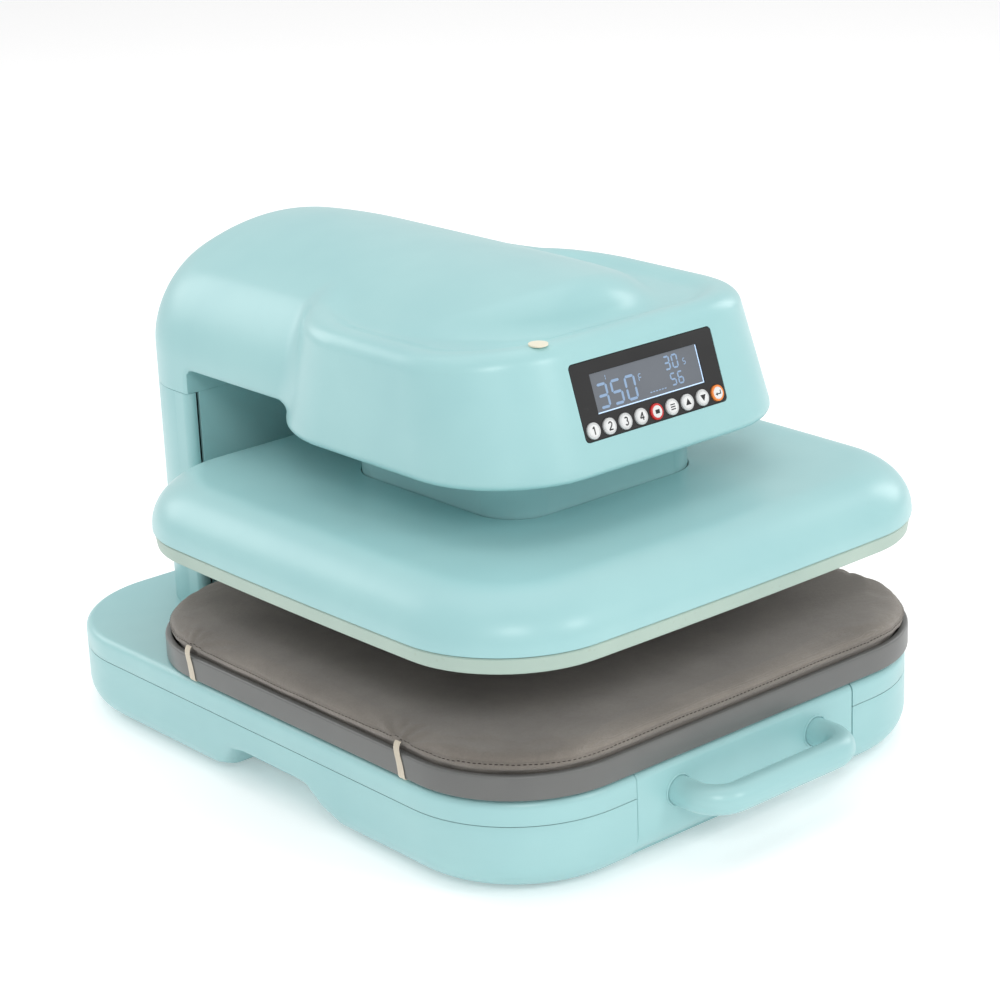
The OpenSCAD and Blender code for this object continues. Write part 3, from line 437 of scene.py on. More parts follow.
def soften_edges(obj, width, weld=False, turn=40):
    """Rounds sharp edges with a live bevel; imported meshes are welded first."""
    if weld:
        joiner = obj.modifiers.new("weld", "WELD")
        joiner.merge_threshold = 0.00001
    bevel = obj.modifiers.new("soft_edge", "BEVEL")
    bevel.width = width * MM
    bevel.segments = 2
    bevel.limit_method = "ANGLE"
    bevel.angle_limit = math.radians(turn)
    bevel.harden_normals = True
    bevel.use_clamp_overlap = True


SLOT_OF = {p["node"]: p["material_slot"] for p in frame["record"]["subparts"]}
EDGE_OF = {"column_shell": 1.0, "column_front_panel": 1.0, "neck_shroud": 0.6, "head_floor": 0.5,
           "rear_panel": 0.4, "power_inlet": 0.4, "rocker_housing": 0.5, "rocker": 0.5,
           "fan_frame": 0.4, "display_panel": 0.3, "rubber_feet": 0.4, "drawer_carriage": 0.4,
           "rail_outer": 0.5, "rail_inner": 0.4, "chassis_plate": 0.4, "column_frame": 0.4,
           "arm_beam": 0.5, "lift_frame": 0.5, "heat_platen": 0.8, "drive_gearbox": 1.2,
           "drive_motor": 0.8, "head_plug": 0.3, "drawer_pan": 0.5, "lower_platen": 0.6}
for node, obj in NODES.items():
    paint(obj, SLOT_OF[node])
    if node in EDGE_OF:
        soften_edges(obj, EDGE_OF[node], weld=True)
print(len(NODES), "CAD nodes dressed,", len(EDGE_OF), "with soft edges")

# %% [markdown]
# ## Ring lofts
#
# Almost every shell of this machine has a plan that is a rounded square. A loft stacks such plans,
# each drawn in by a little and set at its own height, and joins them with quads. All plans have the
# same number of points, so a long smooth wall, a rolled edge and a flat top all come out of one
# list of (how far in, how high) pairs.

# %% Outline, loft and mesh helpers
CORNER_STEPS = 18
SIDE_STEPS = 24


def outline(width, depth, front_r, rear_r=None, bow=0.0):
    """Points of a rounded rectangle, anticlockwise; bow draws the corners in on curved sides."""
    rear_r = front_r if rear_r is None else rear_r
    hx, hy = width / 2, depth / 2
    arcs = []
    for sx, sy, r, start in ((1, -1, front_r, -90), (1, 1, rear_r, 0), (-1, 1, rear_r, 90),
                             (-1, -1, front_r, 180)):
        turn = np.radians(start + np.linspace(0, 90, CORNER_STEPS + 1))
        arcs.append(np.column_stack([sx * (hx - r) + r * np.cos(turn), sy * (hy - r) + r * np.sin(turn)]))
    share = np.linspace(0, 1, SIDE_STEPS + 1)[1:-1, None]
    parts = []
    for k in range(4):
        parts += [arcs[k], arcs[k][-1] * (1 - share) + arcs[(k + 1) % 4][0] * share]
    plan = np.vstack(parts)
    if bow:
        x, y = plan[:, 0].copy(), plan[:, 1].copy()
        plan[:, 0] *= 1 - bow / hx * (y / hy) ** 2
        plan[:, 1] *= 1 - bow / hy * (x / hx) ** 2
    return plan


def plan_rings(width, depth, radius, profile, middle_y, bow=0.0, rear_r=None):
    """One ring of points for each (inset, z) pair of a profile."""
    rings = []
    for inset, z in profile:
        rear = None if rear_r is None else max(rear_r - inset, 1.0)
        plan = outline(width - 2 * inset, depth - 2 * inset, max(radius - inset, 1.0), rear, bow)
        rings.append(np.column_stack([plan[:, 0], plan[:, 1] + middle_y, np.full(len(plan), z)]))
    return rings


def loft(rings, closed=False, cap=(False, False)):
    """Quads between rings that have the same number of points."""
    count = len(rings[0])
    verts = np.vstack(rings)
    faces = []
    last = len(rings) if closed else len(rings) - 1
    for k in range(last):
        a, b = k * count, ((k + 1) % len(rings)) * count
        for i in range(count):
            j = (i + 1) % count
            faces.append((a + i, a + j, b + j, b + i))
    if cap[0]:
        faces.append(tuple(reversed(range(count))))
    if cap[1]:
        faces.append(tuple(range((len(rings) - 1) * count, len(rings) * count)))
    return verts, faces


def shade(mesh, turn=35):
    """Smooth shading with sharp edges kept where faces meet at more than turn degrees."""
    mesh.shade_smooth()
    mesh.set_sharp_from_angle(angle=math.radians(turn))


def place_piece(obj, body, slot_name, replaced=()):
    """Puts the finish named by slot_name on a new piece, hangs it on its body and hides the CAD nodes that it
    stands for.
    """
    paint(obj, slot_name if slot_name in FINISHES else "mint_plastic")
    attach(obj, body)
    if replaced:
        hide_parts(*replaced)
    return obj


def new_mesh(name, verts, faces, turn=35):
    """A linked object from millimetre points."""
    mesh = bpy.data.meshes.new(name)
    mesh.from_pydata((np.asarray(verts, float) * MM).tolist(), [], faces)
    mesh.validate()
    shade(mesh, turn)
    obj = bpy.data.objects.new(name, mesh)
    SCENE.collection.objects.link(obj)
    return obj


def arc_profile(centre, radius, start, stop, steps):
    """Points of an arc in the (inset, z) plane, angles in degrees from +inset towards +z."""
    turn = np.radians(np.linspace(start, stop, steps + 1))
    return [(centre[0] + radius * math.cos(t), centre[1] + radius * math.sin(t)) for t in turn]


def bake_modifiers(obj, turn=35):
    """Replaces an object's mesh by what its modifiers make of it."""
    graph = bpy.context.evaluated_depsgraph_get()
    made = bpy.data.meshes.new_from_object(obj.evaluated_get(graph))
    obj.modifiers.clear()
    old = obj.data
    obj.data = made
    bpy.data.meshes.remove(old)
    shade(made, turn)
    return obj


def cut_away(obj, *cutters, turn=35):
    """Boolean difference with closed cutter objects, which are removed."""
    for cutter in cutters:
        step = obj.modifiers.new("cut", "BOOLEAN")
        step.operation = "DIFFERENCE"
        step.solver = "EXACT"
        step.object = cutter
    bake_modifiers(obj, turn)
    for cutter in cutters:
        bpy.data.objects.remove(cutter)
    return obj


def block(name, low, high):
    """A plain closed block, to cut with or to show."""
    (x0, y0, z0), (x1, y1, z1) = low, high
    ring = np.array([(x0, y0), (x1, y0), (x1, y1), (x0, y1)])
    rings = [np.column_stack([ring, np.full(4, z)]) for z in (z0, z1)]
    return new_mesh(name, *loft(rings, cap=(True, True)))


print("loft helpers ready:", len(outline(100, 100, 10)), "points to a plan")

# %% [markdown]
# ## Base
#
# The base is two moulded shells that meet in a fine line just under the deck. The lower one has a
# wide rolled bottom edge and, on each side, an arch between the front and rear feet where fingers
# go. Here the profile changes along the plan: in the arch the bottom lifts, its roll gets tighter,
# and a recess goes in behind it. A closed thin shell is then made with Solidify.

# %% Lower base shell
base_low, base_high = span("base_bottom_shell")
front_low, front_high = span("drawer_front")
BASE_W = base_high[0] - base_low[0]
BASE_D = base_high[1] - base_low[1]
BASE_Y = (base_low[1] + base_high[1]) / 2
BASE_R = 90.0
BASE_ROLL = 24.0
SPLIT_Z = base_high[2]
DECK_Z = span("base_top_shell")[1][2]
WALL = 3.0
ARCH_Y = PRESS_Y + 39.0
ARCH_HALF = 68.5
ARCH_LIFT = 28.0
ARCH_RAMP = 30.0
ARCH_DEEP = 36.0


def arch_share(y):
    """0 outside the arch, 1 at its full height, with soft ramps at both ends."""
    run = np.clip((ARCH_HALF - np.abs(y - ARCH_Y)) / ARCH_RAMP, 0, 1)
    return run * run * (3 - 2 * run)


PARTING = 0.15


def lower_base_rings():
    """Rings from the split line down the wall, round the roll and in under the base."""
    plan0 = outline(BASE_W, BASE_D, BASE_R)
    on_side = np.abs(plan0[:, 0]) > BASE_W / 2 - 1
    lift = np.where(on_side, arch_share(plan0[:, 1] + BASE_Y), 0.0)
    roll = BASE_ROLL * (1 - lift) + 5.0 * lift
    bottom = base_low[2] + ARCH_LIFT * lift
    rings = []

    def ring(inset, z):
        wide = outline(BASE_W, BASE_D, BASE_R)
        narrow = outline(BASE_W - 120, BASE_D - 120, BASE_R - 60)
        share = (np.asarray(inset) / 60.0)[:, None]
        plan = wide * (1 - share) + narrow * share
        rings.append(np.column_stack([plan[:, 0], plan[:, 1] + BASE_Y, z]))

    full = np.ones(len(plan0))
    for inset, drop in ((PARTING, PARTING), (0.0, 2 * PARTING + 0.1)):
        ring(inset * full, (SPLIT_Z - drop) * full)
    for share in (0.33, 0.66):
        ring(0 * full, (SPLIT_Z - 1.0) * (1 - share) + (bottom + roll) * share)
    for turn in np.radians(np.linspace(0, 90, 13)):
        ring(roll * (1 - math.cos(turn)), bottom + roll * (1 - math.sin(turn)))
    ring(np.full(len(plan0), ARCH_DEEP - 3.0), bottom)
    ring(np.full(len(plan0), ARCH_DEEP), bottom - 3.0 * np.clip(lift, 0, 1))
    ring(np.full(len(plan0), ARCH_DEEP + 2.0), base_low[2] * full)
    return rings[::-1]


lower_case = new_mesh("base_lower_case", *loft(lower_base_rings(), cap=(True, False)))
thick = lower_case.modifiers.new("wall", "SOLIDIFY")
thick.thickness = WALL * MM
thick.offset = -1
SEAM = 0.55
front_notch = block("front_notch", (front_low[0] - SEAM, front_low[1] - 20, -5),
                    (front_high[0] + SEAM, front_high[1] + SEAM, DECK_Z + 20))
cut_away(lower_case, front_notch)
soften_edges(lower_case, 0.15)
place_piece(lower_case, "press_frame", "mint_plastic", ["base_bottom_shell"])
print("lower case", len(lower_case.data.polygons), "faces")

# %% Upper base shell with its drawer slot
DECK_ROLL = 6.0
ring_low, ring_high = span("tray_ring")
SLOT_BACK = ring_high[1] - 14.0


def upper_base_profile():
    rows = [(PARTING, SPLIT_Z + PARTING), (0.0, SPLIT_Z + 2 * PARTING + 0.1), (0.0, DECK_Z - DECK_ROLL)]
    rows += arc_profile((DECK_ROLL, DECK_Z - DECK_ROLL), DECK_ROLL, 180, 90, 8)[1:]
    return rows + [(20.0, DECK_Z), (40.0, DECK_Z)]


upper_case = new_mesh("base_upper_case", *loft(
    plan_rings(BASE_W, BASE_D, BASE_R, upper_base_profile(), BASE_Y), cap=(False, True)))
thick = upper_case.modifiers.new("wall", "SOLIDIFY")
thick.thickness = WALL * MM
thick.offset = -1
front_notch = block("front_notch", (front_low[0] - SEAM, front_low[1] - 20, -5),
                    (front_high[0] + SEAM, front_high[1] + SEAM, DECK_Z + 20))
deck_slot = block("deck_slot", (front_low[0] - SEAM, front_low[1] + 5, SPLIT_Z + 6),
                  (front_high[0] + SEAM, SLOT_BACK, DECK_Z + 20))
cut_away(upper_case, front_notch, deck_slot)
soften_edges(upper_case, 0.15)
place_piece(upper_case, "press_frame", "mint_plastic", ["base_top_shell"])
print("upper case", len(upper_case.data.polygons), "faces")

# %% [markdown]
# ## Drawer front and handle
#
# The drawer's front panel is a slice of the same base outline, so its section follows the rolled
# bottom edge. The handle is one bent tube, made by sweeping a circle along a path with two bends.
# A shallow ring round each end is the gap where the tube enters the panel.

# %% Drawer front
def drawer_front_section():
    """Closed (y, z) section of the panel, outer face first."""
    y0, z0, z1 = front_low[1], front_low[2], DECK_Z
    outer = [(y0 + BASE_ROLL * (1 - math.cos(t)), z0 + BASE_ROLL * (1 - math.sin(t)))
             for t in np.radians(np.linspace(60, 0, 10))]
    outer = [(y, z) for y, z in outer if y <= front_high[1]]
    top = [(y0 + DECK_ROLL * (1 - math.cos(t)), z1 - DECK_ROLL * (1 - math.sin(t)))
           for t in np.radians(np.linspace(0, 90, 9))]
    return outer + top + [(front_high[1], z1), (front_high[1], outer[0][1])]


def extrude_along_x(section, x0, x1, steps=2):
    rings = [np.array([(x, y, z) for y, z in section]) for x in np.linspace(x0, x1, steps)]
    return loft(rings, cap=(True, True))


drawer_face = new_mesh("drawer_face", *extrude_along_x(drawer_front_section(), front_low[0], front_high[0]))
bm = bmesh.new()
bm.from_mesh(drawer_face.data)
bmesh.ops.recalc_face_normals(bm, faces=bm.faces)
bm.to_mesh(drawer_face.data)
bm.free()
shade(drawer_face.data)
soften_edges(drawer_face, 1.0)
place_piece(drawer_face, "drawer", "mint_plastic", ["drawer_front"])
print("drawer face", len(drawer_face.data.polygons), "faces")

# %% Handle tube
handle_low, handle_high = span("drawer_handle")
TUBE_R = (handle_high[2] - handle_low[2]) / 2
HANDLE_Z = (handle_high[2] + handle_low[2]) / 2
HANDLE_HALF = (handle_high[0] - handle_low[0]) / 2 - TUBE_R
BAR_Y = handle_low[1] + TUBE_R
BEND = 20.0


def handle_path():
    """Centre line and side direction of the tube, from the left leg to the right one."""
    pts = [((-HANDLE_HALF, y), (1, 0)) for y in np.linspace(front_low[1] + 2, BAR_Y + BEND, 5)]
    for t in np.radians(np.linspace(0, 90, 13))[1:]:
        pts.append(((-HANDLE_HALF + BEND * (1 - math.cos(t)), BAR_Y + BEND * (1 - math.sin(t))),
                    (math.cos(t), math.sin(t))))
    for x in np.linspace(-HANDLE_HALF + BEND, HANDLE_HALF - BEND, 9)[1:-1]:
        pts.append(((x, BAR_Y), (0, 1)))
    return pts + [((-x, y), (-a, b)) for (x, y), (a, b) in reversed(pts)
                  if x < -HANDLE_HALF + BEND + 0.1]


def tube(path, radius, sides=40):
    rings = []
    for (x, y), (nx, ny) in path:
        turn = np.linspace(0, 2 * math.pi, sides, endpoint=False)
        rings.append(np.column_stack([x + radius * np.cos(turn) * nx, y + radius * np.cos(turn) * ny,
                                      HANDLE_Z + radius * np.sin(turn)]))
    return rings


handle = new_mesh("handle_tube", *loft(tube(handle_path(), TUBE_R), cap=(True, True)))
place_piece(handle, "drawer", "mint_plastic", ["drawer_handle"])


def collar_rings(x):
    """A thin dark-edged collar round the tube where it meets the panel."""
    rings = []
    for r, y in ((TUBE_R + 0.2, 0.4), (TUBE_R + 1.5, 0.4), (TUBE_R + 1.5, -0.35), (TUBE_R + 1.1, -0.7),
                 (TUBE_R + 0.55, -0.7), (TUBE_R + 0.35, 0.0)):
        turn = np.linspace(0, 2 * math.pi, 48, endpoint=False)
        rings.append(np.column_stack([x + r * np.cos(turn), np.full(48, front_low[1] + y),
                                      HANDLE_Z + r * np.sin(turn)]))
    return rings


for side, label in ((-1, "left"), (1, "right")):
    collar = new_mesh("handle_collar_" + label, *loft(collar_rings(side * HANDLE_HALF), closed=True))
    place_piece(collar, "drawer", "mint_plastic")
print("handle spans", round(2 * HANDLE_HALF, 1), "mm")

# %% [markdown]
# ## Tray
#
# The grey ring that carries the pad is a painted frame with a small step inside. Its top edge is
# rounded just enough to catch a bright line of light.

# %% Tray ring
TRAY_W = ring_high[0] - ring_low[0]
TRAY_D = ring_high[1] - ring_low[1]
TRAY_R = 86.0
TRAY_Z0, TRAY_Z1 = ring_low[2], ring_high[2]
TRAY_WALL = 5.0


def tray_profile():
    rows = arc_profile((1.2, TRAY_Z0 + 1.2), 1.2, 270, 180, 4)
    rows += arc_profile((1.8, TRAY_Z1 - 1.8), 1.8, 180, 90, 6)
    rows += arc_profile((TRAY_WALL - 1.2, TRAY_Z1 - 1.2), 1.2, 90, 0, 4)
    return rows + [(TRAY_WALL, TRAY_Z0 + 2), (TRAY_WALL + 6, TRAY_Z0 + 2), (TRAY_WALL + 6, TRAY_Z0)]


tray = new_mesh("tray_frame", *loft(plan_rings(TRAY_W, TRAY_D, TRAY_R, tray_profile(), PRESS_Y), closed=True))
place_piece(tray, "drawer", "grey_paint", ["tray_ring"])
print("tray", round(TRAY_W), "x", round(TRAY_D), "mm")

# %% [markdown]
# ## Platen cover, band and its seam
#
# The cover is a shallow dome with a wide elliptical edge and sides that bow out by a few
# millimetres. Below it, a grey-green insulating band leans in slightly. A dark hairline stays open
# between them. The neck comes up through a close-fitting hole in the middle.

# %% Platen cover
COVER_W = cover_high[0] - cover_low[0]
COVER_D = cover_high[1] - cover_low[1]
COVER_R = 83.0
COVER_BOW = 3.9
EDGE_WIDE = 40.8
EDGE_TALL = 32.7
COVER_Z0, COVER_Z1 = cover_low[2], cover_high[2]
neck_low, neck_high = span("neck_shroud")
HEAD_Y = (neck_low[1] + neck_high[1]) / 2
NECK_W = neck_high[0] - neck_low[0]
NECK_R = 32.0


def cover_profile():
    z1 = COVER_Z1 - 0.2
    rows = [(WALL, COVER_Z0 + 0.5), (0.5, COVER_Z0 + 0.45), (0.0, COVER_Z0 + 1.1)]
    for t in np.radians(np.linspace(0, 90, 25)):
        rows.append((EDGE_WIDE * (1 - math.cos(t)), z1 - EDGE_TALL * (1 - math.sin(t))))
    rows += [(EDGE_WIDE + 20, z1 + 0.15), (EDGE_WIDE + 50, z1 + 0.2)]
    return rows


cover = new_mesh("press_cover", *loft(
    plan_rings(COVER_W, COVER_D, COVER_R, cover_profile(), PRESS_Y, COVER_BOW), cap=(False, True)))
thick = cover.modifiers.new("wall", "SOLIDIFY")
thick.thickness = 2.4 * MM
thick.offset = -1
NECK_SEAM = 0.7
hole = new_mesh("neck_hole", *loft(plan_rings(
    NECK_W + 2 * NECK_SEAM, NECK_W + 2 * NECK_SEAM, NECK_R + NECK_SEAM,
    [(0, COVER_Z1 - 15), (0, COVER_Z1 + 15)], HEAD_Y), cap=(True, True)))
cut_away(cover, hole, turn=30)
soften_edges(cover, 0.5, turn=50)
place_piece(cover, "platen", "mint_plastic", ["platen_cover"])
print("cover", round(COVER_W), "x", round(COVER_D), "mm,", len(cover.data.polygons), "faces")

# %% Insulating band
strip_low, strip_high = span("insulation_band")


def band_profile():
    top, low = strip_high[2], strip_low[2]
    rows = [(16.0, low), (4.2, low)]
    rows += arc_profile((4.4, low + 1.8), 1.8, 250, 180, 4)
    return rows + [(1.2, top - 1.2), (1.8, top - 0.3), (4.0, top - 0.25), (16.0, top - 0.25)]


band = new_mesh("press_band", *loft(
    plan_rings(COVER_W, COVER_D, COVER_R, band_profile(), PRESS_Y, COVER_BOW), closed=True))
place_piece(band, "platen", "band_plastic", ["insulation_band"])
print("band", round(strip_high[2] - strip_low[2], 1), "mm tall")

# %% [markdown]
# ## Head and arm
#
# The head and the arm are one moulded shell: a leaning rounded pod, a loaf-shaped arm that rises
# out of it through a hollow blend, and a collar that comes down on the column. Such blends are hard
# to loft, but easy to describe as a field: a formula that is negative inside and positive outside,
# where two shapes are joined with a rounded maximum or minimum. The zero surface of that field is
# then walked with a net of small quads, which are pulled exactly onto it.

# %% The field of the head and arm
column_low, column_high = span("column_shell")
floor_low = span("head_floor")[0]
HEAD_Z = floor_low[2] - 0.6
HEAD_W = 296.0
HEAD_D = 288.0
HEAD_FRONT = HEAD_Y - HEAD_D / 2
HEAD_BACK = HEAD_Y + HEAD_D / 2
RIM_Z = HEAD_Z + 85.0
RIDGE_Z = RIM_Z + 23.0
FACE_LEAN = math.radians(18.5)
SIDE_LEAN = math.radians(5.5)
RIM_ROLL = 9.0
RIM_DROP = 7.0
DROP_FROM = 82.0
DROP_WIDE = 65.0
REAR_LEAN = 0.30
REAR_FLAT = 48.0
BOTTOM_ROLL = 6.0
LIP_WIDE = 12.0
LIP_DIP = 6.0
DIP_WIDE = 22.0
BLEND = 9.0
ARM_HALF = column_high[0]
ARM_Z = HEAD_Z + 17.0
SEAM_Z = column_high[2]
COLUMN_Y0, COLUMN_Y1 = column_low[1], column_high[1]
COLUMN_R = 66.0
FACE_FLAT = 67.0
NOSE_Y = HEAD_FRONT + 58
NOSE_R = 118.0
NOSE_START = HEAD_Y + 20
NOSE_FALL = 8.0
NOSE_LONG = 110.0
TAIL_START = COLUMN_Y0 - 20
TAIL_FALL = 7.0
TAIL_LONG = 100.0
ARM_CORNER = 7.0
ARM_EDGE = 2.0
CROWN = 0.0029
SHOULDER = 36.0


def rounded_plan(x, y, half, y0, y1, front_r, rear_r):
    """Distance to a rounded rectangle in plan whose front and rear corners differ."""
    middle, half_y = (y0 + y1) / 2, (y1 - y0) / 2
    r = np.where(y < middle, front_r, rear_r)
    qx = np.abs(x) - half + r
    qy = np.abs(y - middle) - half_y + r
    return (np.minimum(np.maximum(qx, qy), 0) - r
            + np.sqrt(np.maximum(qx, 0) ** 2 + np.maximum(qy, 0) ** 2))


def rounded_both(a, b, r):
    """Inside both shapes, with their shared edge rounded to radius r."""
    ua, ub = np.maximum(r + a, 0), np.maximum(r + b, 0)
    return np.minimum(-r, np.maximum(a, b)) + np.sqrt(ua * ua + ub * ub)


def rounded_either(a, b, r):
    """Inside either shape, with the corner between them filled to radius r."""
    ua, ub = np.maximum(r - a, 0), np.maximum(r - b, 0)
    return np.maximum(r, np.minimum(a, b)) - np.sqrt(ua * ua + ub * ub)


def pod_field(x, y, z):
    rise = np.clip(z - HEAD_Z, -5, 95)
    half = HEAD_W / 2 - rise * math.tan(SIDE_LEAN)
    front = HEAD_FRONT + rise * math.tan(FACE_LEAN)
    back = HEAD_BACK - rise * REAR_LEAN
    plan = rounded_plan(x, y, half, front, back, half - FACE_FLAT + rise * 0.03, half - REAR_FLAT)
    inside = np.clip((-plan - LIP_WIDE) / DIP_WIDE, 0, 1)
    dip = LIP_DIP * inside * inside * (3 - 2 * inside)
    outer = np.clip((np.abs(x) - DROP_FROM) / DROP_WIDE, 0, 1)
    rim = RIM_Z - RIM_DROP * outer * outer - dip
    body = rounded_both(plan * math.cos(SIDE_LEAN), z - rim, RIM_ROLL)
    return rounded_both(body, HEAD_Z - z, BOTTOM_ROLL)


def arm_top(x, y):
    """Height of the arm's skin: a crowned ridge that falls away at the nose and at the rear."""
    nose = np.clip((NOSE_START - y) / NOSE_LONG, 0, 1)
    tail = np.clip((y - TAIL_START) / TAIL_LONG, 0, 1)
    return RIDGE_Z - CROWN * x * x - NOSE_FALL * nose * nose - TAIL_FALL * tail * tail


def arm_field(x, y, z):
    plan = rounded_plan(x, y, ARM_HALF, NOSE_Y, COLUMN_Y1, NOSE_R, COLUMN_R)
    top = rounded_both(plan, z - arm_top(x, y), SHOULDER)
    under = rounded_either(ARM_Z - z, COLUMN_Y0 - y, ARM_CORNER)
    return rounded_both(np.maximum(top, SEAM_Z - 3 - z), under, ARM_EDGE)


def head_field(x, y, z):
    return rounded_either(pod_field(x, y, z), arm_field(x, y, z), BLEND)


def field_slope(x, y, z, h=0.05):
    """Direction in which the field grows fastest, and how fast."""
    slope = np.column_stack([head_field(x + h, y, z) - head_field(x - h, y, z),
                             head_field(x, y + h, z) - head_field(x, y - h, z),
                             head_field(x, y, z + h) - head_field(x, y, z - h)]) / (2 * h)
    size = np.maximum(np.linalg.norm(slope, axis=1), 1e-6)
    return slope, size


print("head from z", round(HEAD_Z, 1), "to", round(RIDGE_Z, 1), "mm")


# %% A net of quads on the zero surface
def surface_net(field, low, step):
    """Vertices and quads where a sampled field changes sign."""
    inside = field < 0
    nx, ny, nz = (n - 1 for n in field.shape)
    count = np.zeros((nx, ny, nz), int)
    for i in (0, 1):
        for j in (0, 1):
            for k in (0, 1):
                count += inside[i:nx + i, j:ny + j, k:nz + k]
    active = (count > 0) & (count < 8)
    index = np.full(active.shape, -1)
    index[active] = np.arange(active.sum())
    cells = np.argwhere(active)
    total = np.zeros((len(cells), 3))
    hits = np.zeros(len(cells))
    ci, cj, ck = cells.T
    corners = np.array([(i, j, k) for i in (0, 1) for j in (0, 1) for k in (0, 1)])
    for a in range(8):
        for b in range(a + 1, 8):
            if np.abs(corners[a] - corners[b]).sum() != 1:
                continue
            fa = field[ci + corners[a][0], cj + corners[a][1], ck + corners[a][2]]
            fb = field[ci + corners[b][0], cj + corners[b][1], ck + corners[b][2]]
            cross = (fa < 0) != (fb < 0)
            t = np.where(cross, fa / np.where(cross, fa - fb, 1), 0)
            spot = corners[a] + (corners[b] - corners[a]) * t[:, None]
            total[cross] += spot[cross]
            hits[cross] += 1
    verts = low + (cells + total / hits[:, None]) * step
    faces = []
    for axis in range(3):
        u, v = (axis + 1) % 3, (axis + 2) % 3
        ahead = np.roll(inside, -1, axis)
        change = inside != ahead
        spots = np.argwhere(change)
        limit = np.array(field.shape) - 1
        good = (spots[:, axis] < limit[axis]) & (spots[:, u] > 0) & (spots[:, v] > 0) \
            & (spots[:, u] < limit[u]) & (spots[:, v] < limit[v])
        spots = spots[good]
        quad = []
        for du, dv in ((-1, -1), (0, -1), (0, 0), (-1, 0)):
            cell = spots.copy()
            cell[:, u] += du
            cell[:, v] += dv
            quad.append(index[cell[:, 0], cell[:, 1], cell[:, 2]])
        quad = np.column_stack(quad)
        out = inside[spots[:, 0], spots[:, 1], spots[:, 2]]
        quad[~out] = quad[~out][:, ::-1]
        faces.append(quad)
    return verts, np.vstack(faces)


def pull_to_surface(verts, rounds=3):
    for _ in range(rounds):
        x, y, z = verts.T
        slope, size = field_slope(x, y, z)
        verts = verts - (head_field(x, y, z) / size ** 2)[:, None] * slope
    return verts


def even_out(verts, faces, rounds=4):
    """Moves each vertex towards the middle of its neighbours, then back onto the surface."""
    edges = np.vstack([faces[:, [0, 1]], faces[:, [1, 2]], faces[:, [2, 3]], faces[:, [3, 0]]])
    for _ in range(rounds):
        total = np.zeros_like(verts)
        hits = np.zeros(len(verts))
        for a, b in ((0, 1), (1, 0)):
            np.add.at(total, edges[:, a], verts[edges[:, b]])
            np.add.at(hits, edges[:, a], 1)
        verts = pull_to_surface(verts * 0.4 + 0.6 * total / hits[:, None], 1)
    return verts


NET_STEP = 2.6
net_low = np.array([-HEAD_W / 2 - 6, HEAD_FRONT - 6, SEAM_Z - 9])
net_high = np.array([HEAD_W / 2 + 6, COLUMN_Y1 + 6, RIDGE_Z + 6])
axes = [np.arange(a, b, NET_STEP) for a, b in zip(net_low, net_high)]
grid = np.meshgrid(*axes, indexing="ij")
net_verts, net_faces = surface_net(head_field(*grid), net_low, NET_STEP)
net_verts = pull_to_surface(even_out(pull_to_surface(net_verts), net_faces))
print("head net", len(net_verts), "points", len(net_faces), "quads")


# %% Open the underside and give the shell its wall
def open_below(verts, faces):
    """Cuts the net open at the head's underside and at the seam with the column."""
    bm = bmesh.new()
    points = [bm.verts.new(v) for v in verts.tolist()]
    for f in faces.tolist():
        bm.faces.new([points[i] for i in f])
    for front, height in ((True, HEAD_Z + 0.25), (False, SEAM_Z + 0.35)):
        part = [f for f in bm.faces if (f.calc_center_median().y < COLUMN_Y0 - 30) == front]
        geom = part + list({e for f in part for e in f.edges}) + list({v for f in part for v in f.verts})
        bmesh.ops.bisect_plane(bm, geom=geom, plane_co=(0, 0, height), plane_no=(0, 0, 1),
                               clear_inner=True, dist=0.01)
    bmesh.ops.delete(bm, geom=[v for v in bm.verts if not v.link_faces], context="VERTS")
    bm.verts.index_update()
    out_verts = np.array([v.co[:] for v in bm.verts])
    out_faces = [tuple(v.index for v in f.verts) for f in bm.faces]
    rim = []
    for e in bm.edges:
        if len(e.link_loops) == 1:
            loop = e.link_loops[0]
            rim.append((loop.vert.index, loop.link_loop_next.vert.index))
    bm.free()
    return out_verts, out_faces, rim


def with_wall(verts, faces, rim, wall):
    """Adds an inner skin along the field's slope and closes the rims."""
    slope, size = field_slope(*verts.T)
    inner = verts - slope / size[:, None] * wall
    n = len(verts)
    both = faces + [tuple(i + n for i in reversed(f)) for f in faces]
    both += [(b, a, a + n, b + n) for a, b in rim]
    return np.vstack([verts, inner]), both


head_case = new_mesh("head_case", *with_wall(*open_below(net_verts, net_faces), WALL - 0.4), turn=45)
PANEL_W = 128.0
PANEL_H = 51.0
PANEL_RISE = 0.55 * (RIM_Z - HEAD_Z)
PANEL_MID = np.array([0.0, HEAD_FRONT + PANEL_RISE * math.tan(FACE_LEAN), HEAD_Z + PANEL_RISE])
FACE_OUT = np.array([0.0, -math.cos(FACE_LEAN), math.sin(FACE_LEAN)])
FACE_UP = np.array([0.0, math.sin(FACE_LEAN), math.cos(FACE_LEAN)])


def on_face(u, v, w=0.0):
    """A point on the leaning face: u across, v up the face, w out of it."""
    u, v, w = np.broadcast_arrays(np.asarray(u, float), v, w)
    return (PANEL_MID + u[..., None] * np.array([1.0, 0, 0]) + v[..., None] * FACE_UP
            + w[..., None] * FACE_OUT)


def face_prism(name, width, height, radius, w0, w1, middle=(0, 0)):
    """A closed rounded prism that stands on the leaning face."""
    plan = outline(width, height, radius) + np.array(middle)
    rings = [on_face(plan[:, 0], plan[:, 1], w) for w in (w0, w1)]
    return new_mesh(name, *loft(rings, cap=(True, True)))


cut_away(head_case, face_prism("panel_cut", PANEL_W + 0.9, PANEL_H + 0.9, 3.4, -12, 12), turn=40)
place_piece(head_case, "press_frame", "mint_plastic", ["head_shell"])
print("head case", len(head_case.data.polygons), "faces")

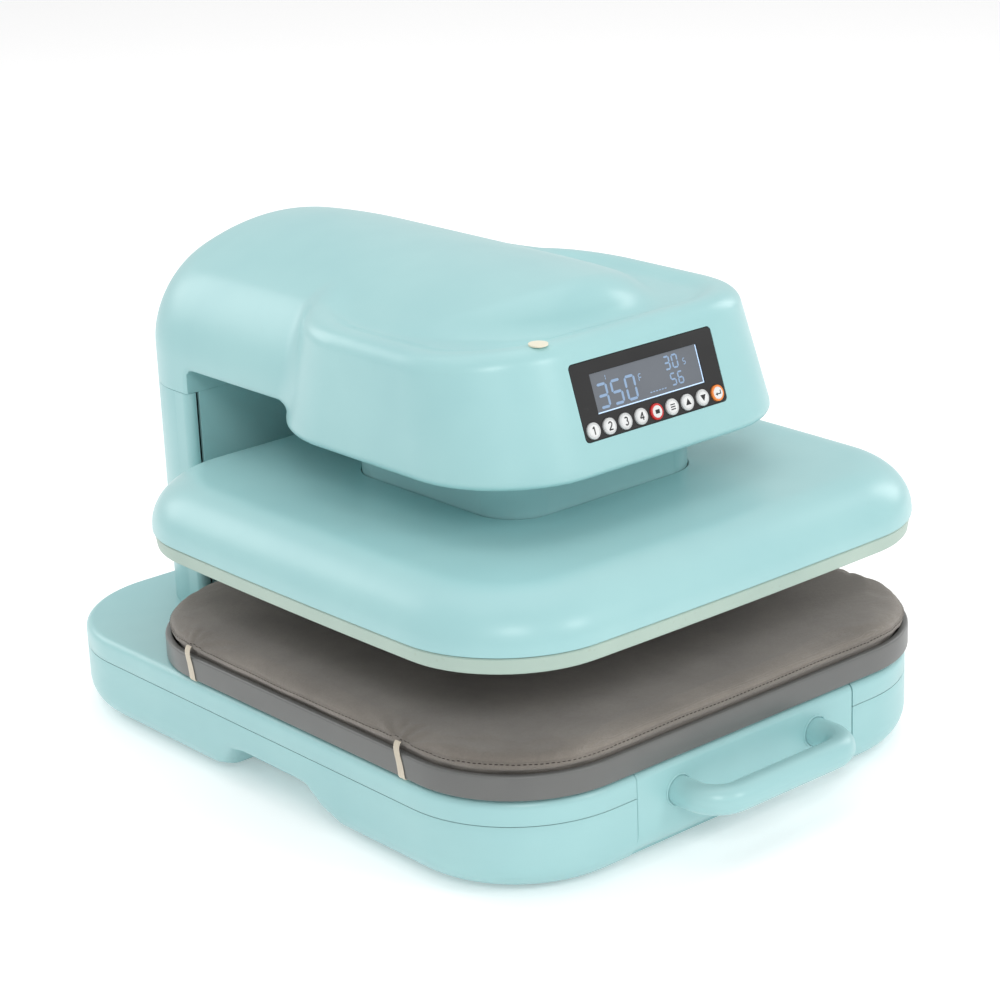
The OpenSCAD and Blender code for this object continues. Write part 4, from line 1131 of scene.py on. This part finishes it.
# %% Floor of the head, with the neck's opening
FLOOR_INSET = 4.6
FLOOR_CORNERS = ((1, HEAD_BACK, -1, 98.0), (-1, HEAD_BACK, -1, 98.0), (-1, HEAD_FRONT, 1, 78.0),
                 (1, HEAD_FRONT, 1, 78.0))


def floor_outline(steps=14):
    """Flat outline of the head's underside, counter-clockwise from the rear right corner."""
    points = []
    for n, (side, edge, way, r) in enumerate(FLOOR_CORNERS):
        cx, cy = side * (HEAD_W / 2 - FLOOR_INSET - r), edge + way * (FLOOR_INSET + r)
        for turn in np.radians(np.linspace(90 * n, 90 * n + 90, steps)):
            points.append((cx + r * math.cos(turn), cy + r * math.sin(turn)))
    return np.array(points)


floor_plan = floor_outline()
head_underside = new_mesh("head_underside", *loft(
    [np.column_stack([floor_plan, np.full(len(floor_plan), z)])
     for z in (floor_low[2], floor_low[2] + WALL)], cap=(True, True)))
NECK_OPENING = 183.2
neck_plan = outline(NECK_OPENING, NECK_OPENING, 33.6) + np.array([0, HEAD_Y])
cut_away(head_underside, new_mesh("neck_cut", *loft(
    [np.column_stack([neck_plan, np.full(len(neck_plan), z)]) for z in (HEAD_Z - 10, HEAD_Z + 20)],
    cap=(True, True))))
soften_edges(head_underside, 0.3)
place_piece(head_underside, "press_frame", "mint_plastic", ["head_floor"])

# %% Front panel of the column
panel_low, panel_high = span("column_front_panel")
column_panel = block("column_panel", panel_low, (panel_high[0], panel_high[1], SEAM_Z + 0.2))
soften_edges(column_panel, 0.3)
place_piece(column_panel, "press_frame", "mint_plastic", ["column_front_panel"])

# %% [markdown]
# ## Screen
#
# Behind the black front panel lies a grey screen with pale blue seven-part figures. Each figure is
# made of small bars with mitred ends, laid just above the glass, so that it stays sharp from any
# side. A thin bright line along two edges is the light of the screen's own lamp.

# %% Figures and marks on the screen
LCD_W = 97.0
LCD_H = 27.0
LCD_ROW = PANEL_H / 2 - 8.6 - LCD_H / 2
GLASS_W = -0.6
SEGMENTS = {"0": "abcdef", "1": "bc", "2": "abged", "3": "abgcd", "4": "fgbc", "5": "afgcd",
            "6": "afgedc", "7": "abc", "8": "abcdefg", "9": "abcdfg", "F": "afge"}


def segment_bar(a, b, thick):
    """Six corners of a bar with pointed ends from a to b."""
    a, b = np.array(a, float), np.array(b, float)
    along = (b - a) / np.linalg.norm(b - a)
    side = np.array([-along[1], along[0]]) * thick / 2
    tip = along * thick / 2
    gap = along * thick * 0.12
    a, b = a + gap, b - gap
    return [a, a + tip + side, b - tip + side, b, b - tip - side, a + tip - side]


def figure_bars(text, left, low, height, thick, pitch):
    """Bars of a row of seven-part figures."""
    wide = height * 0.52
    bars = []
    for n, sign in enumerate(text):
        x0 = left + n * pitch
        x1, y0, ym, y1 = x0 + wide, low, low + height / 2, low + height
        ends = {"a": ((x0, y1), (x1, y1)), "b": ((x1, ym), (x1, y1)), "c": ((x1, y0), (x1, ym)),
                "d": ((x0, y0), (x1, y0)), "e": ((x0, y0), (x0, ym)), "f": ((x0, ym), (x0, y1)),
                "g": ((x0, ym), (x1, ym))}
        bars += [segment_bar(*ends[s], thick) for s in SEGMENTS[sign]]
    return bars


def plates_on_face(name, polygons, w0, w1):
    """Thin raised plates with the given corner points, all in one mesh."""
    verts, faces = [], []
    for poly in polygons:
        poly = np.asarray(poly, float)
        if np.cross(poly[1] - poly[0], poly[2] - poly[1]) < 0:
            poly = poly[::-1]
        n, base = len(poly), len(verts)
        for w in (w0, w1):
            verts += on_face(poly[:, 0], poly[:, 1], w).tolist()
        faces.append(tuple(base + n + i for i in range(n)))
        faces.append(tuple(base + i for i in reversed(range(n))))
        faces += [(base + i, base + (i + 1) % n, base + n + (i + 1) % n, base + n + i) for i in range(n)]
    return new_mesh(name, verts, faces, turn=20)


def rectangle(x, y, w, h):
    return [(x, y), (x + w, y), (x + w, y + h), (x, y + h)]


screen_left, screen_low = -LCD_W / 2, LCD_ROW - LCD_H / 2
bars = figure_bars("350", screen_left + 4.2, screen_low + 3.6, 15.0, 1.8, 12.4)
bars += figure_bars("F", screen_left + 41.2, screen_low + 13.4, 4.6, 0.7, 5)
bars += figure_bars("1", screen_left + 11.6, screen_low + 20.6, 3.2, 0.6, 5)
bars += figure_bars("30", screen_left + 66.0, screen_low + 15.6, 8.4, 1.2, 7.2)
bars += figure_bars("5", screen_left + 82.4, screen_low + 16.0, 3.8, 0.7, 5)
bars += figure_bars("56", screen_left + 68.6, screen_low + 4.6, 7.6, 1.1, 6.6)
bars += [rectangle(screen_left + 48 + 2.6 * i, screen_low + 3.8, 1.7, 0.7) for i in range(6)]
figures = plates_on_face("screen_figures", bars, GLASS_W, GLASS_W + 0.06)
place_piece(figures, "press_frame", "lcd_glass")
figure_paint = finish_of("screen_figure", (142, 168, 198), (134, 160, 192), (0.3, 0.4), bump=0.02)
figures.data.materials[0] = figure_paint
glow_lines = plates_on_face("screen_glow", [
    rectangle(screen_left + 0.4, screen_low + 0.4, LCD_W - 0.8, 0.75),
    rectangle(-screen_left - 1.15, screen_low + 1.2, 0.75, LCD_H - 1.8)], GLASS_W, GLASS_W + 0.1)
place_piece(glow_lines, "press_frame", "lcd_glass")
glow_lines.data.materials[0] = FINISHES["glow"]
print(len(bars), "bars on the screen")

# %% [markdown]
# ## Keys
#
# Nine round keys sit in a row under the screen. Each is turned on a lathe-like profile: a pale ring,
# a narrow groove and a white cap. The figures and signs on them are thin black plates. The key that
# stops the press has a red ring and a square, the one that confirms has an orange ring and an arrow.

# %% Key bodies and signs
KEY_R = 5.5
KEY_PITCH = 14.1
KEY_ROW = -PANEL_H / 2 + 6.5
KEY_TOP = 1.4
KEYS = ["1", "2", "3", "4", "stop", "set", "up", "down", "enter"]
KEY_PROFILE = [(0.0, -4.0), (KEY_R, -4.0), (KEY_R, KEY_TOP - 0.5), (KEY_R - 0.45, KEY_TOP - 0.05),
               (KEY_R - 1.2, KEY_TOP), (KEY_R - 1.35, KEY_TOP - 0.22), (KEY_R - 1.6, KEY_TOP - 0.22),
               (KEY_R - 1.75, KEY_TOP - 0.02), (2.0, KEY_TOP), (0.0, KEY_TOP)]
RING_ROWS = 4


def turned_key(name, middle):
    """A key turned from its profile; the outer ring's faces come first."""
    turn = np.linspace(0, 2 * math.pi, 40, endpoint=False)
    rings = [on_face(middle + max(r, 0.02) * np.cos(turn), KEY_ROW + max(r, 0.02) * np.sin(turn), w)
             for r, w in KEY_PROFILE]
    return new_mesh(name, *loft(rings, cap=(True, True)), turn=30)


def stroke(a, b, thick):
    """A straight pen stroke as a rectangle."""
    a, b = np.array(a, float), np.array(b, float)
    along = (b - a) / np.linalg.norm(b - a)
    side = np.array([-along[1], along[0]]) * thick / 2
    return [a - side, b - side, b + side, a + side]


def arc_strokes(cx, cy, r, start, stop, thick, steps=8):
    turn = np.radians(np.linspace(start, stop, steps + 1))
    pts = [(cx + r * math.cos(t), cy + r * math.sin(t)) for t in turn]
    return [stroke(pts[i], pts[i + 1], thick) for i in range(steps)]


PEN = 0.75
SIGN_SIZE = 1.22
SIGNS = {
    "1": [stroke((0.1, -2.2), (0.1, 2.2), PEN), stroke((-1.0, 1.2), (0.1, 2.1), PEN)],
    "2": arc_strokes(0, 1.0, 1.15, 160, -35, PEN) + [stroke((0.95, 0.3), (-1.2, -2.0), PEN),
                                                     stroke((-1.4, -2.0), (1.4, -2.0), PEN)],
    "3": arc_strokes(0, 1.1, 1.0, 150, -80, PEN) + arc_strokes(0, -1.0, 1.15, 80, -150, PEN),
    "4": [stroke((0.6, -2.2), (0.6, 2.2), PEN), stroke((0.6, 2.1), (-1.4, -0.8), PEN),
          stroke((-1.5, -0.8), (1.5, -0.8), PEN)],
    "stop": [rectangle(-1.5, -1.1, 3.0, 2.2)],
    "set": [stroke((-1.7, y), (1.7, y), 0.6) for y in (-1.3, 0.0, 1.3)],
    "up": [[(-2.0, -1.5), (2.0, -1.5), (0.0, 2.1)]],
    "down": [[(-2.0, 1.5), (0.0, -2.1), (2.0, 1.5)]],
    "enter": [stroke((1.7, 1.4), (1.7, -0.5), 0.6), stroke((1.9, -0.5), (-1.2, -0.5), 0.6),
              [(-2.2, -0.5), (-0.8, -1.5), (-0.8, 0.5)]],
}
RING_SLOT = {"stop": "red_button", "enter": "orange_button"}
ring_grey = finish_of("key_ring", (206, 208, 208), (190, 192, 192), (0.35, 0.45), bump=0.1)
sign_ink = finish_of("sign_ink", (26, 26, 28), (34, 34, 36), (0.4, 0.5), bump=0.05)
for n, key in enumerate(KEYS):
    middle = (n - 4) * KEY_PITCH
    body = "button_" + key + "_key"
    cap = turned_key("key_" + key, middle)
    place_piece(cap, body, RING_SLOT.get(key, "white_button"), ["button_" + key])
    cap.data.materials[0] = FINISHES[RING_SLOT[key]] if key in RING_SLOT else ring_grey
    cap.data.materials.append(FINISHES["white_button"])
    sides = 40
    for poly in cap.data.polygons:
        row = poly.index // sides
        poly.material_index = 1 if row > RING_ROWS and poly.index < sides * (len(KEY_PROFILE) - 1) else 0
    cap.data.polygons[len(cap.data.polygons) - 1].material_index = 1
    moved = [np.asarray(p, float) * SIGN_SIZE + np.array([middle, KEY_ROW]) for p in SIGNS[key]]
    sign = plates_on_face("key_sign_" + key, moved, KEY_TOP - 0.02, KEY_TOP + 0.04)
    place_piece(sign, body, "black_plastic")
    sign.data.materials[0] = sign_ink
print(len(KEYS), "keys")

# %% [markdown]
# ## Padded cover of the drawer
#
# The pad is foam under a fitted cloth cover with a stitched hem, pulled down at four places by
# elastic straps. A closed shape is given a coarse even mesh, and a cloth simulation blows it up with
# its skirt pinned in the tray. Left free it would swell by tens of millimetres, far more than a foam
# pad does, so no point may move further than a small cap. The simulation gives the directions, and
# where it asks for more than the cap, the cap gives the distance. The cap also lets the press close.
# The creases that run from each strap, the lifted hem and the seam are added afterwards, because a
# coarse simulation can't hold them.

# %% Rest shape of the padded cover
PAD_TOP = span("pad_cover")[1][2]
HEM_Z = TRAY_Z1 + 1.6
PAD_VOXEL = 5.0


def pad_profile():
    """(inset from the tray's outside, z) from the hidden skirt up to the flat top."""
    return [(9.6, TRAY_Z0 + 8.5), (9.4, TRAY_Z1 - 1), (6.0, HEM_Z - 0.2), (2.2, HEM_Z + 0.3),
            (0.9, HEM_Z + 2.2), (0.7, HEM_Z + 4.6), (2.0, PAD_TOP - 4.4), (5.4, PAD_TOP - 2.2),
            (11.0, PAD_TOP - 0.9), (22.0, PAD_TOP - 0.4), (50.0, PAD_TOP - 0.3)]


def even_remesh(obj, size):
    step = obj.modifiers.new("remesh", "REMESH")
    step.mode = "VOXEL"
    step.voxel_size = size * MM
    step.use_smooth_shade = True
    return bake_modifiers(obj)


def points_of(mesh):
    co = np.empty(len(mesh.vertices) * 3)
    mesh.vertices.foreach_get("co", co)
    return co.reshape(-1, 3) / MM


def set_points(mesh, points):
    mesh.vertices.foreach_set("co", (points * MM).ravel())
    mesh.update()


pad = new_mesh("pad_cloth", *loft(plan_rings(TRAY_W, TRAY_D, TRAY_R, pad_profile(), PRESS_Y),
                                  cap=(True, True)))
even_remesh(pad, PAD_VOXEL)
print("pad", len(pad.data.polygons), "faces before the simulation")


# %% Blow the cover up, within the cap
SWELL_PRESSURE = 4.0
SWELL_FRAMES = 20
SWELL_CAP = 2.2


def swell(obj, pressure, frames, cap, pinned_below):
    """Cloth with pressure and no gravity; each point may move cap millimetres at most."""
    rest = points_of(obj.data)
    pins = obj.vertex_groups.new(name="pins")
    pins.add([int(i) for i in np.nonzero(rest[:, 2] < pinned_below)[0]], 1.0, "REPLACE")
    cloth = obj.modifiers.new("cloth", "CLOTH")
    rule = cloth.settings
    rule.quality = 5
    rule.use_pressure = True
    rule.uniform_pressure_force = pressure
    rule.vertex_group_mass = "pins"
    rule.effector_weights.gravity = 0
    cloth.point_cache.frame_start = 1
    cloth.point_cache.frame_end = frames
    for number in range(1, frames + 1):
        SCENE.frame_set(number)
    made = obj.evaluated_get(bpy.context.evaluated_depsgraph_get()).to_mesh()
    blown = points_of(made)
    obj.modifiers.clear()
    obj.vertex_groups.clear()
    move = blown - rest
    far = np.linalg.norm(move, axis=1)
    set_points(obj.data, rest + move * np.minimum(1, cap / np.maximum(far, 1e-6))[:, None])
    SCENE.frame_set(1)
    return far.max()


free = swell(pad, SWELL_PRESSURE, SWELL_FRAMES, SWELL_CAP, TRAY_Z1 - 0.5)
print("largest free swell", round(float(free), 2), "mm, capped at", SWELL_CAP, "mm")
divide = pad.modifiers.new("divide", "SUBSURF")
divide.levels = divide.render_levels = 1
bake_modifiers(pad, turn=80)
print("pad", len(pad.data.polygons), "faces after it")

# %% [markdown]
# The straps pull at four points of the hem. Around each, creases fan out over the edge and die away
# on the flat top, and the hem is lifted a little towards the strap. Distances are measured as if the
# side of the pad were folded flat, so that a crease runs unbroken over the rounded edge.

# %% Creases, hem lift and limits
STRAP_FRONT = PRESS_Y - 107.0
STRAP_REAR = PRESS_Y + 125.0
STRAPS = [(side, y) for side in (-1, 1) for y in (STRAP_FRONT, STRAP_REAR)]
CREASE_DEEP = 1.8
CREASE_TURNS = (16, 38, 57, 78, 101, 124, 146, 166)


def pad_shape(points):
    """Adds creases and hem lift to the pad's points."""
    x, y, z = points.T.copy()
    inward = np.maximum(TRAY_W / 2 - np.abs(x), 0)
    height = np.clip(z - HEM_Z, 0, 12)
    across = np.maximum(inward - 4, 0) + height
    sink = np.zeros(len(x))
    lift = np.zeros(len(x))
    for n, (side, strap_y) in enumerate(STRAPS):
        near = (np.sign(x) == side)
        along = y - strap_y
        far = np.hypot(along, across)
        turn = np.degrees(np.arctan2(across, along))
        for k, angle in enumerate(CREASE_TURNS):
            angle = angle + 5 * math.sin(2.3 * n + 1.7 * k)
            reach = 34 + 16 * math.sin(1.3 * n + 2.1 * k + 0.4)
            off = far * np.sin(np.radians(np.clip(turn - angle, -90, 90)))
            wide = 1.5 + 0.07 * far
            fold = np.exp(-(off / wide) ** 2) - 0.55 * np.exp(-((off - 1.9 * wide) / wide) ** 2)
            sink += near * CREASE_DEEP * fold * np.exp(-far / reach) * np.clip(far / 5, 0, 1)
        lift += near * 2.0 * np.exp(-np.abs(along) / 15.0) * np.clip((HEM_Z + 9 - z) / 9, 0, 1)
    ripple = 0.35 * np.sin(y / 9.0 + 1.2 * np.sin(x / 31)) + 0.3 * np.sin(x / 10.5 + 0.8)
    side_share = np.clip((PAD_TOP - 1.0 - z) / 4, 0, 1)
    size = np.maximum(np.hypot(x, y - PRESS_Y), 1)
    out = np.column_stack([x / size, (y - PRESS_Y) / size])
    x = x - out[:, 0] * (sink * 0.6 + ripple * 0.6) * side_share
    y = y - out[:, 1] * (sink * 0.6 + ripple * 0.6) * side_share
    z = z - np.maximum(sink, -0.3) * 0.9 + np.where(z > TRAY_Z1, lift, 0)
    z = z - 0.25 * (1 + np.sin(x / 23.0) * np.sin(y / 29.0)) * (z > PAD_TOP - 2)
    return np.column_stack([x, y, np.minimum(z, PAD_TOP - 0.02)])


set_points(pad.data, pad_shape(points_of(pad.data)))
place_piece(pad, "drawer", "pad_fabric", ["pad_cover"])
pad_points = points_of(pad.data)
print("pad top", round(float(pad_points[:, 2].max()), 2), "of", round(PAD_TOP, 2), "mm")

# %% Hem and its stitches
from mathutils.bvhtree import BVHTree
pad_tree = BVHTree.FromObject(pad, bpy.context.evaluated_depsgraph_get())


def on_pad(x, y, z, proud):
    """The point of the pad's side met by a level line from outside, set proud of the cloth."""
    out = Vector((x, y - PRESS_Y, 0)).normalized()
    start = (Vector((x, y, z)) + out * 14) * MM
    hit, normal, _, _ = pad_tree.ray_cast(start, -out, 0.05)
    if hit is None:
        hit, normal, _, _ = pad_tree.find_nearest(Vector((x, y, z)) * MM)
    return np.array(hit) / MM + np.array(normal) * proud, np.array(normal)


def hem_plan(count):
    """Evenly spaced points round the pad, with the hem's lift at each."""
    plan = outline(TRAY_W - 2, TRAY_D - 2, TRAY_R - 1)
    plan[:, 1] += PRESS_Y
    loop = np.vstack([plan, plan[:1]])
    step = np.r_[0, np.cumsum(np.linalg.norm(np.diff(loop, axis=0), axis=1))]
    places = np.linspace(0, step[-1], count, endpoint=False)
    x, y = np.interp(places, step, loop[:, 0]), np.interp(places, step, loop[:, 1])
    lift = sum(2.0 * np.exp(-np.abs(y - sy) / 15.0) * (np.sign(x) == s) for s, sy in STRAPS)
    return x, y, lift * (np.abs(x) > TRAY_W / 2 - 30) + 0.25 * np.sin(places / 21.0), step[-1]


HEM_TALL = 4.6
hem_rows = ((0.2, 0.1), (0.0, 0.55), (0.5, 0.75), (HEM_TALL * 0.5, 0.7), (HEM_TALL - 0.4, 0.6),
            (HEM_TALL, 0.35), (HEM_TALL, -0.2))
hx, hy, hem_lift, hem_round = hem_plan(420)
hem_rings = []
for rise, proud in hem_rows:
    hem_rings.append(np.array([on_pad(a, b, HEM_Z + 0.7 + rise + c, proud)[0]
                               for a, b, c in zip(hx, hy, hem_lift)]))
hem = new_mesh("pad_hem", *loft(hem_rings), turn=70)
place_piece(hem, "drawer", "pad_fabric")
thread_ink = finish_of("seam_thread", (58, 50, 44), (46, 40, 36), (0.8, 0.9), "woven", bump=0.5)


def stitch_row(name, count, rise, length, thick):
    """Short rounded stitches laid along the hem."""
    x, y, lift, _ = hem_plan(count)
    verts, faces = [], []
    for n in range(count):
        here, out = on_pad(x[n], y[n], HEM_Z + 0.7 + rise + lift[n], 0.75)
        m = (n + 1) % count
        ahead = np.array([x[m] - x[n], y[m] - y[n], lift[m] - lift[n]])
        ahead = ahead / np.linalg.norm(ahead)
        up = np.cross(ahead, out)
        base = len(verts)
        for share, size in ((-0.5, 0.35), (-0.3, 1.0), (0.3, 1.0), (0.5, 0.35)):
            for side, top in ((-1, 0), (0, 1), (1, 0), (0, -0.6)):
                verts.append(here + ahead * share * length + up * side * thick * size
                             + out * top * thick * size * 0.7)
        for k in range(3):
            a, b = base + 4 * k, base + 4 * (k + 1)
            faces += [(a + i, b + i, b + (i + 1) % 4, a + (i + 1) % 4) for i in range(4)]
        faces += [(base, base + 1, base + 2, base + 3), (base + 15, base + 14, base + 13, base + 12)]
    obj = new_mesh(name, verts, faces, turn=60)
    bm = bmesh.new()
    bm.from_mesh(obj.data)
    bmesh.ops.recalc_face_normals(bm, faces=bm.faces)
    bm.to_mesh(obj.data)
    bm.free()
    return obj


stitches = stitch_row("pad_stitches", 430, HEM_TALL - 0.9, 2.3, 0.32)
place_piece(stitches, "drawer", "pad_fabric")
stitches.data.materials[0] = thread_ink
print("hem", round(hem_round), "mm round")

# %% [markdown]
# ## Elastic straps
#
# Each strap is a pair of flat cream elastics sewn under the hem. They run over the tray's wall,
# down its outside and in underneath. A smooth curve through a few points gives their path, and two
# strands leaning apart give their look.

# %% Elastic straps
def smooth_path(points, steps=6):
    """A Catmull-Rom curve through the points."""
    p = np.asarray(points, float)
    p = np.vstack([2 * p[0] - p[1], p, 2 * p[-1] - p[-2]])
    out = []
    for i in range(1, len(p) - 2):
        for t in np.linspace(0, 1, steps, endpoint=False):
            out.append(0.5 * (2 * p[i] + (p[i + 1] - p[i - 1]) * t
                              + (2 * p[i - 1] - 5 * p[i] + 4 * p[i + 1] - p[i + 2]) * t ** 2
                              + (3 * p[i] - p[i - 1] - 3 * p[i + 1] + p[i + 2]) * t ** 3))
    return np.array(out + [p[-2]])


def strap_strand(side, y, lean, offset_top, offset_low):
    """Rings of one flat strand from the hem over the tray's wall and under it."""
    edge = TRAY_W / 2
    rows = [(edge - 1.6, HEM_Z + 5.4, 0.0), (edge - 0.3, HEM_Z + 4.2, 0.05), (edge + 0.9, HEM_Z + 1.4, 0.15),
            (edge + 0.7, TRAY_Z1 - 1.6, 0.25), (edge + 0.5, TRAY_Z1 - 6, 0.5),
            (edge + 0.5, TRAY_Z0 + 5, 0.8), (edge + 0.4, TRAY_Z0 + 0.8, 0.95),
            (edge - 0.8, TRAY_Z0 - 0.4, 1.0), (edge - 3.0, TRAY_Z0 - 0.45, 1.0),
            (edge - 8.0, TRAY_Z0 - 0.45, 1.0)]
    path = smooth_path([(side * x, y + lean * s + offset_top * (1 - s) + offset_low * s, z)
                        for x, z, s in rows])
    ahead = np.gradient(path, axis=0)
    ahead /= np.linalg.norm(ahead, axis=1)[:, None]
    wide = np.array([0.0, 1.0, 0.0]) - ahead * ahead[:, 1:2]
    wide /= np.linalg.norm(wide, axis=1)[:, None]
    thin = np.cross(ahead, wide)
    turn = np.linspace(0, 2 * math.pi, 14, endpoint=False)
    return [path[i] + np.outer(np.cos(turn), wide[i]) * 1.7 + np.outer(np.sin(turn), thin[i]) * 0.42
            for i in range(len(path))]


strap_verts, strap_faces = [], []
for side, strap_y in STRAPS:
    for top, low in ((-1.1, -2.0), (1.2, 1.3)):
        verts, faces = loft(strap_strand(side, strap_y, -4.0, top, low), cap=(True, True))
        base = sum(len(v) for v in strap_verts)
        strap_verts.append(verts)
        strap_faces += [tuple(base + i for i in f) for f in faces]
straps = new_mesh("pad_straps", np.vstack(strap_verts), strap_faces, turn=60)
place_piece(straps, "drawer", "elastic", ["elastic_straps"])
print(len(STRAPS), "straps of two strands")

# %% Sizes
low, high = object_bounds()
print("shown box", [round(v, 4) for v in (*low, *high)])
